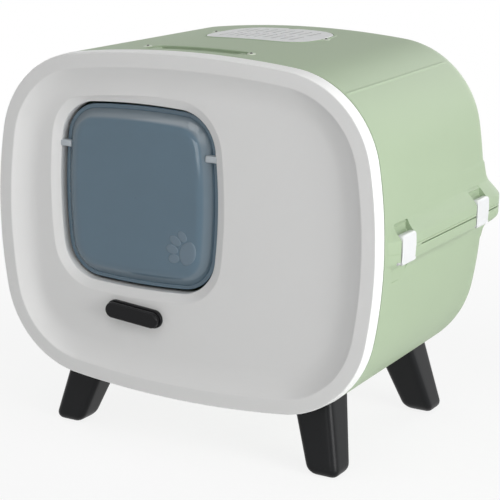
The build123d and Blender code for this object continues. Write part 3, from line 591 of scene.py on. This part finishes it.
def clip_pocket(side, middle, floor):
    """The room round a clip: its floor's place at each height, and its top corners rounded."""
    half = CLIP_W / 2 + POCKET_GAP
    top = floor[-1][0]
    bend = np.radians(np.linspace(0.0, 90.0, 7))
    heights = [z for z, _ in floor[:-1]] + list(top - POCKET_CORNER * (1 - np.sin(bend)))
    backs = [x for _, x in floor[:-1]] + list(np.interp(heights[-7:], *np.array(floor[-2:]).T))
    halves = [half] * (len(floor) - 1) + list(half - POCKET_CORNER * (1 - np.cos(bend)))
    rows = []
    for z, x, reach in zip(heights, backs, halves):
        loop = [
            (POCKET_OUT_X, -reach), (x + POCKET_EDGE, -reach), (x, POCKET_EDGE - reach),
            (x, reach - POCKET_EDGE), (x + POCKET_EDGE, reach), (POCKET_OUT_X, reach),
        ]
        rows.append([(side * px, FRONT_Y + middle + py, z) for px, py in loop])
    return np.array(rows)


tub_levels = np.concatenate([
    [0.0, SEAM_EDGE, 2.0], np.arange(4.0, 34.0, 0.9), np.arange(35.0, 62.1, 3.0),
])
tub_mesh = closed_mesh("tub_surface", *shell_half(-1, tub_levels))
pockets = [clip_pocket(side, middle, TUB_POCKET) for side in (-1, 1) for middle in CLIP_DEPTHS]
show(cut_away(tub_mesh, pockets), sage_plastic, "box", ("base_tub",), crease=28)

# The hood: the upper half of the shell, in the same plastic, held down on the tub by the clips.
# A thin raised line runs along each upper corner. The top has a well for the handle and a filter's seat.

HANDLE_WELL = (63.5, 15.0, 11.0)
WELL_DEPTH, WELL_FLOOR, WELL_EDGE = 47.0, 456.0, 1.2
CUT_ABOVE, CUT_BELOW = 4.0, -7.0
FILTER = (144.0, 120.0, 344.0, 160.0, 34.0)
FILTER_DEPTH = 215.0
SEAT_Z, SEAT_LEDGE = 459.27, 8.0
LIP_W, LIP_H = 3.0, 0.6


def hood_top(x, y):
    """Height of the hood's outer face near its middle: the flat arc, raised with depth."""
    half_h = body_halves(y - FRONT_Y)[1]
    radius = FRONT[2] + BODY_STEP
    return CENTRE_Z + half_h - FRONT[2] + np.sqrt(radius**2 - x**2)


def ring(form, spacing):
    """Points round an eight-arc outline, even along each arc, with their outward normals."""
    width, height, flat, side, corner = form
    centre = np.array(corner_centre(width / 2, height / 2, flat, side, corner))
    flat_c = np.array([0.0, height / 2 - flat])
    side_c = np.array([width / 2 - side, 0.0])
    low = math.atan2(*(centre - side_c)[::-1])
    high = math.atan2(*(centre - flat_c)[::-1])
    arcs = ((side_c, side, 0.0, low), (centre, corner, low, high), (flat_c, flat, high, math.pi / 2))
    spots, normals = [], []
    for middle, radius, first, last in arcs:
        count = max(6, round(radius * (last - first) / spacing))
        normals.append(unit(np.linspace(first, last, count, endpoint=False)))
        spots.append(middle + radius * normals[-1])
    spots.append([[0.0, height / 2]])
    normals.append([[0.0, 1.0]])
    whole = []
    for values in (np.concatenate(spots), np.concatenate(normals)):
        second = values[-2::-1] * (-1, 1)
        third = values[1:] * (-1, -1)
        fourth = values[-2:0:-1] * (1, -1)
        whole.append(np.concatenate([values, second, third, fourth]))
    return whole


def rounded_box(half_x, half_y, radius, steps=8, between=10):
    """Points round a rectangle with rounded corners, with their outward normals."""
    spots, normals = [], []
    for quarter in range(4):
        normal = unit(math.pi / 2 * (quarter + np.linspace(0.0, 1.0, steps)))
        sign = np.array([(1, 1), (-1, 1), (-1, -1), (1, -1)][quarter])
        spots.append(sign * (half_x - radius, half_y - radius) + radius * normal)
        normals.append(normal)
        end = spots[-1][-1]
        after = end * ((-1, 1), (1, -1))[quarter % 2]
        shares = np.linspace(0.0, 1.0, between + 2)[1:-1, None]
        spots.append(end * (1 - shares) + after * shares)
        normals.append(np.repeat(normal[-1:], between, axis=0))
    return np.concatenate(spots), np.concatenate(normals)


def moved_in(outline, insets):
    """Copies of an outline, one for each inset, moved in along its normals."""
    spots, normals = outline
    return spots[None] - normals[None] * insets[:, None, None]


def on_top(outline, middle_depth, profile):
    """Rows round an outline on the hood's top, one for each (inset, height, follow) of the profile.

    Where follow is 1 the height is counted from the hood's face, and elsewhere from the ground."""
    inset, height, follow = np.array(profile, dtype=float).T
    flat = moved_in(outline, inset)
    x, y = flat[..., 0], flat[..., 1] + FRONT_Y + middle_depth
    z = np.where(follow[:, None] > 0, hood_top(x, y) + height[:, None], height[:, None])
    return np.stack([x, y, z], axis=-1)


well_outline = rounded_box(*HANDLE_WELL)
filter_outline = ring(FILTER, 3.0)
edge_turns = np.radians(np.linspace(0.0, 90.0, 6))
well_mouth = [(-WELL_EDGE, CUT_ABOVE, 1)] + [
    (-WELL_EDGE * (1 - math.sin(a)), WELL_EDGE * (math.cos(a) - 1) + 0.03, 1) for a in edge_turns
] + [(0.0, CUT_BELOW, 1)]
filter_mouth = [(-LIP_W / 2, CUT_ABOVE, 1), (-LIP_W / 2, CUT_BELOW, 1)]
hood_levels = np.concatenate([
    [0.0, SEAM_EDGE, REVEAL_H - 0.05, REVEAL_H + 0.05], STEP_LINE_Z - STEP_LINE_W + np.array([-0.1, 0.1]),
    STEP_LINE_Z + np.array([-0.1, 0.1]),
    np.arange(6.0, 11.0, 1.5), np.arange(11.6, 40.0, 0.8), np.arange(42.0, 62.1, 2.4),
])
hood_mesh = closed_mesh("hood_surface", *shell_half(1, hood_levels))
openings = [clip_pocket(side, middle, HOOD_POCKET) for side in (-1, 1) for middle in CLIP_DEPTHS]
openings.append(on_top(well_outline, WELL_DEPTH, well_mouth)[::-1])
openings.append(on_top(filter_outline, FILTER_DEPTH, filter_mouth)[::-1])
show(cut_away(hood_mesh, openings), sage_plastic, "box", ("hood",), crease=28)

well = on_top(well_outline, WELL_DEPTH, [
    (2.6, WELL_FLOOR, 0), (0.75, WELL_FLOOR + 0.6, 0), (-0.05, WELL_FLOOR + 2.6, 0), (-0.05, -2.4, 1),
    (-2.5, -2.4, 1), (-2.5, WELL_FLOOR - 2.5, 0),
])
show(grids_mesh("handle_well", [well[::-1]]), sage_plastic, "box")
seat = on_top(filter_outline, FILTER_DEPTH, [
    (-LIP_W - 0.5, -0.7, 1), (-LIP_W - 0.15, 0.15, 1), (0.2 - LIP_W, 0.45, 1), (0.6 - LIP_W, LIP_H, 1),
    (-0.5, LIP_H, 1), (-0.15, 0.45, 1), (0.0, 0.1, 1), (0.0, SEAT_Z, 0), (SEAT_LEDGE, SEAT_Z, 0),
    (SEAT_LEDGE, SEAT_Z - WALL, 0), (-LIP_W, SEAT_Z - WALL, 0), (-LIP_W, -1.6, 1),
])
show(grids_mesh("filter_seat", [seat], looped=True), sage_plastic, "box", crease=35)

# The front panel: one moulding in satin light grey plastic, with a rim like an old television's,
# a dished face, and a funnel and collar round the doorway. The band round its edge is a purer white.
# Four screws hold it to the tub's front wall.

def rounded_profile(points, steps=5):
    """A path through (inset, depth, radius) points, with a parabola in place of each corner.

    The parabola leaves and meets the straight runs at the radius from the corner."""
    spots = np.array([p[:2] for p in points], dtype=float)
    out = [spots[0]]
    for index in range(1, len(points) - 1):
        radius = points[index][2]
        here = spots[index]
        if radius == 0.0:
            out.append(here)
            continue
        before = spots[index - 1] - here
        after = spots[index + 1] - here
        start = here + before / np.linalg.norm(before) * min(radius, 0.5 * np.linalg.norm(before))
        end = here + after / np.linalg.norm(after) * min(radius, 0.5 * np.linalg.norm(after))
        for share in np.linspace(0.0, 1.0, steps + 1):
            out.append((1 - share) ** 2 * start + 2 * share * (1 - share) * here + share**2 * end)
    out.append(spots[-1])
    return np.array(out)


def keep_flats_flat(made):
    """Weights the normals by face size, so that flat faces stay flat up to their rounded edges."""
    weighted = made.modifiers.new("weighted_normals", "WEIGHTED_NORMAL")
    weighted.keep_sharp = True
    weighted.weight = 100


def sleeve(form, centre, profile, spacing):
    """A grid whose rows are an outline moved in by each inset of the profile, at its depth behind the rim."""
    flat = moved_in(ring(form, spacing), profile[:, 0])
    y = np.broadcast_to(profile[:, 1:] + FRONT_Y, flat.shape[:2])
    return np.stack([flat[..., 0] + centre[0], y, flat[..., 1] + centre[1]], axis=-1)


RIM_W, RIM_T, BAND_D, BAND_FLARE, BAND_EDGE = 17.2, 3.0, 18.2, 1.2, 1.6
BAND_WHITE = (0.92, 0.92, 0.91)
DISH_RUN, DISH_D, PANEL_T = 33.0, 12.0, 3.0
DOOR = (217.0, 217.0, 830.0, 553.0, 48.0)
DOOR_PLACE = (-62.0, 300.0)
FUNNEL_RUN, FUNNEL_D, COLLAR_D, COLLAR_T = 11.0, 5.0, 17.0, 3.0
run = np.linspace(0.0, 1.0, 19)
fall = 1.0 - (1.0 - run) ** 2.3
dish = np.stack([RIM_W + run * DISH_RUN, fall * DISH_D], axis=1)
outer = rounded_profile([
    (0.5 * PANEL_T - BAND_FLARE, BAND_D, 0.0), (-BAND_FLARE, BAND_D, 0.5),
    (0.0, 0.0, BAND_EDGE), (RIM_W, 0.0, 1.2), (dish[2, 0], dish[2, 1], 0.0),
])
front_face = np.concatenate([outer, dish[3:]])
inner = rounded_profile([
    (-FUNNEL_RUN - 6.0, DISH_D, 0.0), (-FUNNEL_RUN, DISH_D, 1.2), (0.0, DISH_D + FUNNEL_D, 1.0),
    (0.0, DISH_D + FUNNEL_D + COLLAR_D, 0.8), (-COLLAR_T, DISH_D + FUNNEL_D + COLLAR_D, 0.8),
    (-COLLAR_T, DISH_D + FUNNEL_D + PANEL_T, 0.0), (-FUNNEL_RUN - COLLAR_T, DISH_D + PANEL_T, 0.0),
    (-FUNNEL_RUN - COLLAR_T - 4.0, DISH_D + PANEL_T, 0.0),
])
back_of_dish = dish[::-1] + (-PANEL_T, PANEL_T)
behind = np.concatenate([back_of_dish, [
    (PANEL_T, RIM_T), (PANEL_T - BAND_FLARE, BAND_D),
]])


def door_row(inset, depth, angles):
    """The doorway outline's points in given directions from its centre, found along a dense ring."""
    spots, normals = ring(DOOR, 0.5)
    moved = spots - normals * inset
    around = np.unwrap(np.arctan2(moved[:, 1], moved[:, 0]))
    order = np.argsort(around)
    around, moved = around[order], moved[order]
    around = np.concatenate([around - 2 * np.pi, around, around + 2 * np.pi])
    x = np.interp(angles, around, np.tile(moved[:, 0], 3))
    z = np.interp(angles, around, np.tile(moved[:, 1], 3))
    return np.stack([x + DOOR_PLACE[0], np.full_like(x, depth + FRONT_Y), z + DOOR_PLACE[1]], axis=-1)


grid_front = sleeve(FRONT, (0.0, CENTRE_Z), front_face, 4.0)
grid_back = sleeve(FRONT, (0.0, CENTRE_Z), behind, 4.0)
edge = grid_front[-1]
angles = np.arctan2(edge[:, 2] - DOOR_PLACE[1], edge[:, 0] - DOOR_PLACE[0])
door_rows = np.stack([door_row(inset, depth, angles) for inset, depth in inner])
shares = np.linspace(0.0, 1.0, 9)[1:-1, None, None]
flat_front = edge[None] * (1 - shares) + door_rows[:1] * shares
flat_back = door_rows[-1:] * (1 - shares) + grid_back[:1] * shares
panel_grid = np.concatenate([grid_front, flat_front, door_rows, flat_back, grid_back])
panel_plastic = plastic("panel_plastic", (0.735, 0.733, 0.725), 0.36, 2200.0, 0.000012, mottle=0.008,
                        second=("band", BAND_WHITE))


def front_points(mesh):
    """X and Z of each point of a mesh, in millimetres."""
    spots = np.empty(3 * len(mesh.vertices))
    mesh.vertices.foreach_get("co", spots)
    return spots.reshape(-1, 3)[:, 0] / MM, spots.reshape(-1, 3)[:, 2] / MM


def keep_shares(mesh, name, shares):
    """Keeps a share of a plastic's second colour for each point of the mesh, as an attribute."""
    mesh.attributes.new(name, "FLOAT", "POINT").data.foreach_set("value", shares)


panel_mesh = grids_mesh("panel_surface", [panel_grid], looped=True)
x, z = front_points(panel_mesh)
edge_inset = inside_outline(x, z - CENTRE_Z, FRONT[0] / 2, FRONT[1] / 2, FRONT[2:])
keep_shares(panel_mesh, "band", ramp(BAND_EDGE - edge_inset, BAND_EDGE))
keep_flats_flat(show(panel_mesh, panel_plastic, "box", ("front_panel",), crease=40))

# The flap: a smoke-coloured see-through moulding that hangs on two pins. Inside a narrow flat border
# a rounded shoulder rises to a level middle. The shoulder carries a painted reflection: a paler tone, most of
# all along the top.

FLAP_FACE, FLAP_T, FLAP_GAP, FLAP_BORDER, FLAP_RISE, FLAP_RUN = 24.6, 2.4, 3.2, 4.6, 11.6, 21.0
SMOKE, SMOKE_ALPHA = (0.086, 0.160, 0.222), 0.86
# The paler smoke and the shares below paint a reflection on the shoulder, strongest along the top.
PAINTED_SHEEN_SMOKE = (0.235, 0.28, 0.31)
SHEEN_START, SHEEN_END, SHEEN_FADE = 1.2, 12.0, 3.0
SHEEN_ALL_ROUND, SHEEN_AT_TOP = 0.34, 0.66


def flap_height(run):
    """How far the face stands forward of the border: a shoulder that evens out, then a level middle.

    It is the rise, less the rise times the share of the run that is left, to the power 2.2."""
    return FLAP_RISE * (1.0 - (1.0 - ramp(run, FLAP_RUN)) ** 2.2)


def inside_door(x, z):
    """How far each point lies inside the doorway's outline."""
    return inside_outline(x - DOOR_PLACE[0], z - DOOR_PLACE[1], DOOR[0] / 2, DOOR[1] / 2, DOOR[2:])


runs = FLAP_RUN * np.linspace(0.0, 1.0, 22) ** 1.3
border = FLAP_GAP + FLAP_BORDER
rim = rounded_profile([
    (FLAP_GAP + 0.6, FLAP_FACE + FLAP_T, 0.0), (FLAP_GAP, FLAP_FACE + FLAP_T, 0.5),
    (FLAP_GAP, FLAP_FACE, 0.8), (border, FLAP_FACE, 0.0),
])
dome = np.stack([border + runs[1:], FLAP_FACE - flap_height(runs[1:])], axis=1)
hollow = np.stack([border + FLAP_T + runs[::-1], FLAP_FACE + FLAP_T - flap_height(runs[::-1])], axis=1)
flap_front = sleeve(DOOR, DOOR_PLACE, np.concatenate([rim, dome]), 2.5)
flap_back = sleeve(DOOR, DOOR_PLACE, hollow, 2.5)


def towards_middle(row):
    """Rows that shrink from a closed row to a small ring round the flap's middle."""
    shares = np.linspace(0.0, 0.995, 14)[1:, None, None]
    middle = np.array([DOOR_PLACE[0], row[0, 1], DOOR_PLACE[1]])
    return row[None] * (1 - shares) + middle * shares


middle_front = towards_middle(flap_front[-1])
middle_back = towards_middle(flap_back[0])[::-1]
flap_grid = np.concatenate([flap_front, middle_front, middle_back, flap_back])
# Its second colour is the painted reflection on the shoulder.
smoke_plastic = plastic("smoke_plastic", SMOKE, 0.10, 40.0, 0.0, mottle=0.05, specular=0.8,
                        alpha=SMOKE_ALPHA, second=("shoulder_sheen", PAINTED_SHEEN_SMOKE))
flap_mesh = grids_mesh("flap_surface", [flap_grid], looped=True)
x, z = front_points(flap_mesh)
# Share of the painted reflection at each point: a band on the shoulder, stronger towards the top.
past_border = inside_door(x, z) - border
painted_sheen = ramp(past_border, SHEEN_START) * ramp(SHEEN_END - past_border, SHEEN_FADE)
sheen_towards_top = ramp(z - DOOR_PLACE[1], DOOR[1] / 2) ** 3
keep_shares(flap_mesh, "shoulder_sheen", painted_sheen * (SHEEN_ALL_ROUND + SHEEN_AT_TOP * sheen_towards_top))
keep_flats_flat(show(flap_mesh, smoke_plastic, "flap", ("door_flap",), crease=40))

# The flap's two ears: pale moulded blocks that slip over the pins at each side.
# They sit on the flap's shoulder near its upper corners and swing with it.

EAR_REACH, EAR_EDGE = (92.2, 106.9), 1.2
EAR_HALF_D, EAR_HALF_H, EAR_CORNER, EAR_BACK = 4.8, 3.9, 2.2, 1.2
HINGE_DEPTH, HINGE_Z = 19.4, 354.0
SIDES = ((-1, "left"), (1, "right"))


def capsule_ends(length_points, edge, steps=4):
    """Stations (inset, place) along a bar whose two ends are rounded by an edge radius."""
    first, last = length_points
    turn = np.radians(np.linspace(0.0, 90.0, steps + 1))
    start = [(edge * (1 - math.sin(a)), first + edge * (1 - math.cos(a))) for a in turn]
    return start + [(inset, first + last - place) for inset, place in start[::-1]]


ear_plastic = plastic("ear_plastic", (0.46, 0.50, 0.53), 0.30, 2000.0, 0.00001)
inset, place = np.array(capsule_ends(EAR_REACH, EAR_EDGE)).T
ear = moved_in(rounded_box(EAR_HALF_D, EAR_HALF_H, EAR_CORNER, steps=6, between=2), inset)
ear += (FRONT_Y + HINGE_DEPTH + EAR_BACK, HINGE_Z)
for side, side_name in SIDES:
    x = np.broadcast_to(DOOR_PLACE[0] + side * place[:, None], ear.shape[:2])
    grid = np.stack([x, ear[..., 0], ear[..., 1]], axis=-1)
    show(grids_mesh("flap_ear_" + side_name, [grid]), ear_plastic, "flap")

# The paw print on the flap: five slightly raised pads with a frosted face, of a plain everyday pattern.
# It is moulded on the flap's face near the lower right corner, and lies on its side.

PAD_SHARES = np.array([1.0, 1.0, 0.97, 0.9, 0.75, 0.5, 0.25, 0.02])[:, None]
PAD_HEIGHTS = np.array([-0.3, 0.0, 0.3, 0.42, 0.45, 0.45, 0.45, 0.45])[:, None]
PALM_NARROWS = 0.16
PAW_PLACE = (9.4, 243.2)
PAW_TURN = math.radians(-69.0)
PADS = (
    (0.0, 0.0, 14.6, 10.6, 0.0), (-14.2, 14.4, 5.3, 7.4, 30.0), (-5.0, 20.6, 5.2, 7.8, 8.0),
    (6.2, 20.4, 5.2, 7.8, -10.0), (15.2, 13.6, 5.0, 7.0, -32.0),
)


def flap_face(x, z):
    """How far behind the rim face the flap's front lies at a place."""
    return FLAP_FACE - flap_height(np.maximum(inside_door(x, z) - border, 0.0))


pads = []
for along, up, half_w, half_h, lean in PADS:
    around = np.linspace(0.0, 2 * math.pi, 40, endpoint=False)
    px = half_w * np.cos(around) * PAD_SHARES
    pz = half_h * np.sin(around) * PAD_SHARES * (1.0 - PALM_NARROWS * np.cos(around) ** 2 * (along == 0.0))
    cosine, sine = math.cos(math.radians(lean)), math.sin(math.radians(lean))
    px, pz = along + px * cosine - pz * sine, up + px * sine + pz * cosine
    x = PAW_PLACE[0] + px * math.cos(PAW_TURN) + pz * math.sin(PAW_TURN)
    z = PAW_PLACE[1] - px * math.sin(PAW_TURN) + pz * math.cos(PAW_TURN)
    pads.append(np.stack([x, FRONT_Y + flap_face(x, z) - PAD_HEIGHTS, z], axis=-1))
frosted = plastic("frosted_plastic", (0.135, 0.190, 0.238), 0.4, 1800.0, 0.00002)
show(grids_mesh("paw_print", pads), frosted, "flap")

# The turn button: two layers of glossy black plastic, the cap a little smaller than the plate behind it.
# The CAD solids have its whole form, so they only get their finish.

black_gloss = plastic("black_gloss_plastic", (0.004, 0.004, 0.005), 0.25, 2000.0, 0.00001, specular=0.2)
paint("lock_base", black_gloss)
paint("lock_cap", black_gloss)

# The clips: bent white plates, each with a hook at its head and a barrel round its pin, moulded in one.
# The pin is held in the tub's pocket, and the hook catches a ledge of the hood.

CLIP_PIVOT = (257.8, 259.4)
CLIP_HALF, CLIP_BEND, CLIP_CORNER, CLIP_EDGE = CLIP_W / 2, 0.9, 3.4, 0.7
CORNER_FROM, CORNER_OVER = 20.0, 8.0
FOOT_START, FOOT_DRAW, BARREL_DRAW, BARREL_RUN, HOOK_FREE = 2.5, 0.11, 0.15, 1.2, 12.0
BARREL_R, PLATE_IN, CLIP_H, HOOK_IN, HOOK_T = 3.8, 1.0, 30.2, -3.4, 3.2
white_gloss = plastic("white_gloss_plastic", (0.745, 0.755, 0.762), 0.24, 2000.0, 0.00001, mottle=0.005)
meets = math.acos(PLATE_IN / BARREL_R)
head = rounded_profile([
    (PLATE_IN, BARREL_R * math.sin(meets), 0.0), (PLATE_IN, CLIP_H - HOOK_T, 0.8),
    (HOOK_IN, CLIP_H - HOOK_T, 0.6), (HOOK_IN, CLIP_H, 0.8), (BARREL_R, CLIP_H, 2.4),
    (BARREL_R, CLIP_H / 2, 0.0), (BARREL_R, 1.0, 0.0),
])
clip_side = np.concatenate([head, BARREL_R * unit(np.linspace(0.0, meets - 2 * math.pi, 30)[:-1])])
forward = np.roll(clip_side, -1, axis=0) - np.roll(clip_side, 1, axis=0)
clip_normal = np.stack([-forward[:, 1], forward[:, 0]], axis=1) / np.linalg.norm(forward, axis=1)[:, None]


def clip_grid(side, middle):
    """The side view carried along Y: its ends rounded, its top corners lowered, its face slightly bowed.

    Its lower corners and the ends of its barrel are drawn in."""
    stations = capsule_ends((-CLIP_HALF, CLIP_HALF), CLIP_EDGE)
    half = len(stations) // 2
    inner = [(0.0, y) for y in np.linspace(CLIP_CORNER - CLIP_HALF, CLIP_HALF - CLIP_CORNER, 3)]
    bend = [(0.0, -CLIP_HALF + 0.9 + 0.6 * step) for step in range(4)]
    stations = stations[:half] + bend + inner + [(0.0, -y) for _, y in bend[::-1]] + stations[half:]
    inset, along = np.array(stations).T
    flat = moved_in((clip_side, clip_normal), inset)
    past = np.maximum(np.abs(along) - CLIP_HALF + CLIP_CORNER, 0.0)
    drop = CLIP_CORNER - np.sqrt(np.maximum(CLIP_CORNER**2 - past**2, 0.0))
    height = flat[..., 1] - drop[:, None] * ramp(flat[..., 1] - CORNER_FROM, CORNER_OVER)
    out = flat[..., 0] - CLIP_BEND * (ramp(height, CLIP_H) * 2.0 - 1.0) ** 2 * (height > 0.0)
    x = side * (CLIP_PIVOT[0] + out)
    low = ramp(FOOT_START - height, FOOT_START + BARREL_R)
    behind = ramp(PLATE_IN - out, BARREL_RUN) * (height < HOOK_FREE)
    y = FRONT_Y + middle + along[:, None] * (1.0 - FOOT_DRAW * low**2 - BARREL_DRAW * behind)
    return np.stack([x, y, CLIP_PIVOT[1] + height], axis=-1)


for side, side_name in SIDES:
    for middle, end_name in zip(CLIP_DEPTHS, ("front", "rear")):
        name = f"clip_{end_name}_{side_name}"
        clip_mesh = grids_mesh(name + "_plate", [clip_grid(side, middle)])
        show(clip_mesh, white_gloss, name, (name,), crease=50)

# The carry handle: a grip bar with two short arms, moulded in one in the hood's green.
# It swings on two pins and folds down into its well.

BAR_DEPTH, AXIS_DEPTH, ARM_X = 38.75, 55.25, 55.5
AXIS_Z, HANDLE_HALF_H, BAR_BOW = 464.8, 4.0, 1.1
ARM_HALF_W, GRIP_MORE, GRIP_END, GRIP_RUN = 3.5, 1.5, 48.0, 7.0
PATH_POINTS = 64
handle_path = rounded_profile([
    (-ARM_X, AXIS_DEPTH, 0.0), (-ARM_X, BAR_DEPTH, 7.0), (ARM_X, BAR_DEPTH, 7.0), (ARM_X, AXIS_DEPTH, 0.0),
], steps=8)
lengths = np.concatenate([[0.0], np.cumsum(np.linalg.norm(np.diff(handle_path, axis=0), axis=1))])
even = np.linspace(0.0, lengths[-1], PATH_POINTS)
handle_path = np.stack([np.interp(even, lengths, handle_path[:, axis]) for axis in (0, 1)], axis=1)
knuckle = np.radians(np.linspace(84.0, 0.0, 5))[:-1]
beyond = np.stack([np.full(4, ARM_X), AXIS_DEPTH + HANDLE_HALF_H * np.sin(knuckle)], axis=1)
handle_path = np.concatenate([beyond * (-1, 1), handle_path, beyond[::-1]])
squeeze = np.concatenate([np.cos(knuckle), np.ones(PATH_POINTS), np.cos(knuckle[::-1])])
ahead = np.gradient(handle_path, axis=0)
ahead /= np.linalg.norm(ahead, axis=1)[:, None]
half_w = ARM_HALF_W + GRIP_MORE * ramp(GRIP_END - handle_path[:, 1], GRIP_RUN)
across, _ = rounded_box(1.0, 1.0, 0.5, steps=6, between=3)
sideways = across[None, :, 0] * half_w[:, None]
x = handle_path[:, :1] - ahead[:, 1:] * sideways
y = handle_path[:, 1:] + ahead[:, :1] * sideways
bow = BAR_BOW * np.clip(1.0 - (handle_path[:, :1] / ARM_X) ** 2, 0.0, 1.0)
z = AXIS_Z + across[None, :, 1] * HANDLE_HALF_H * squeeze[:, None] + bow
handle_mesh = grids_mesh("handle_bar", [np.stack([x, y + FRONT_Y, z], axis=-1)])
show(handle_mesh, sage_plastic, "handle", ("carry_handle",))

# The eyelets: small raised rims on the hood's top, longer from front to back, two by the handle and two by
# the filter.
# Their paler green is a painted highlight, and the near-black dome in each is painted shade.

RIM_PROFILE = ((1.5, -1.0), (1.6, 0.4), (1.9, 0.8), (2.6, 1.0), (3.6, 0.85), (4.3, 0.4), (4.7, -0.3))
SHADE_DOT_PROFILE = ((1.45, -1.2), (1.45, 1.2), (1.3, 1.55), (0.8, 1.8), (0.05, 1.9))
RIM_STRETCH = 1.35
EYELETS = ((-68.0, 51.0), (68.0, 51.0), (-75.6, FILTER_DEPTH), (75.6, FILTER_DEPTH))
# The paler green paints a highlight on the rims, and the near-black paints shade inside them.
painted_highlight_sage = plastic("painted_highlight_sage_plastic", (0.62, 0.68, 0.56), 0.35, 1500.0, 0.00002)
painted_shade_dot = plastic("painted_shade_dot", (0.02, 0.022, 0.02), 0.35, 1500.0, 0.00001)


def turned(profile, stretch, x, depth):
    """A profile of (radius, height) turned about an upright line on the hood's top, and stretched in Y."""
    around = np.linspace(0.0, 2 * math.pi, 24, endpoint=False)
    radius, height = np.array(profile).T
    px = x + radius[:, None] * np.cos(around)
    py = FRONT_Y + depth + stretch * radius[:, None] * np.sin(around)
    return np.stack([px, py, hood_top(px, py) + height[:, None]], axis=-1)


rims = [turned(RIM_PROFILE, RIM_STRETCH, *place) for place in EYELETS]
shade_dots = [turned(SHADE_DOT_PROFILE, 1.0, *place) for place in EYELETS]
show(grids_mesh("eyelet_rims", rims), painted_highlight_sage, "box")
show(grids_mesh("eyelet_shade_dots", shade_dots), painted_shade_dot, "box")

# The legs: tapered square posts in satin black plastic that splay outwards.
# One screw from inside the tub holds each, and their tops follow the tub's underside.

LEG_X, LEG_DEPTHS = 178.0, (47.0, 311.0)
LEG_FOOT, LEG_TAPER, LEG_EDGE, FOOT_ROUND, LEG_TOP = (39.6, 37.6), 0.065, 8.0, 11.0, 118.0
LEG_SPLAY, LEG_SINK = (0.29, 0.26), 0.4
black_satin = plastic("black_satin_plastic", (0.005, 0.0055, 0.0065), 0.38, 1600.0, 0.00002, specular=0.2)


def leg_row(side, depth, lean, z, inset):
    """The rounded square of a leg at a height, drawn in by an inset at its foot."""
    half_x, half_y = (size / 2 + LEG_TAPER * z - inset for size in LEG_FOOT)
    spots, _ = rounded_box(half_x, half_y, LEG_EDGE - 0.5 * inset, steps=7, between=5)
    x = side * (LEG_X - LEG_SPLAY[0] * z) + spots[:, 0]
    y = FRONT_Y + depth + lean * LEG_SPLAY[1] * z + spots[:, 1]
    return np.stack([x, y, np.full(len(x), z)], axis=1)


turns = np.radians(np.linspace(0.0, 90.0, 8))
for side, side_name in SIDES:
    for depth, lean, end_name in zip(LEG_DEPTHS, (1, -1), ("front", "rear")):
        foot = []
        for turn in turns:
            rise, inset = FOOT_ROUND * (1 - math.cos(turn)), FOOT_ROUND * (1 - math.sin(turn))
            foot.append(leg_row(side, depth, lean, rise, inset))
        high = leg_row(side, depth, lean, LEG_TOP, 0.0)
        way = (high - foot[-1]) / (LEG_TOP - FOOT_ROUND)
        meets = cast(foot[-1], way, LEG_TOP - FOOT_ROUND, lambda x, y, z: -inside_body(x, y, z))
        top = meets + way * LEG_SINK
        post = [foot[-1] * (1 - share) + top * share for share in np.linspace(0.0, 1.0, 12)[1:]]
        name = f"leg_{end_name}_{side_name}"
        leg_mesh = grids_mesh(name + "_post", [np.array(foot + post)])
        show(leg_mesh, black_satin, "box", (name,), crease=50)

# The filter in the hood's top: a milky slotted cover, a pad of pale open foam, and a green tray under it.
# The screws and the clips' pins are steel, and the flap hangs on white pins. Their CAD solids are whole,
# so each only gets its finish.

milky = plastic("milky_plastic", (0.74, 0.75, 0.75), 0.35, 2000.0, 0.00001, mottle=0.02)
foam = plastic("filter_foam", (0.82, 0.82, 0.81), 0.9, 500.0, 0.0004)
steel = plastic("steel", (0.55, 0.55, 0.56), 0.3, 900.0, 0.00001)
white_pin = plastic("white_pin", (0.80, 0.80, 0.81), 0.3, 900.0, 0.00001)
FINISHES = {
    "filter_cover": (milky, "cover"), "filter_pad": (foam, "filter"), "filter_tray": (sage_plastic, "shell"),
    "lock_washer": (white_gloss, "clip"), "flap_pin_left": (white_pin, "steel"),
    "flap_pin_right": (white_pin, "steel"),
}
for name, (material, slot) in FINISHES.items():
    paint(name, material)
for name in nodes:
    if name.startswith(("clip_pin", "handle_pin")) or name.endswith("screws") or name == "lock_retainer":
        paint(name, steel)
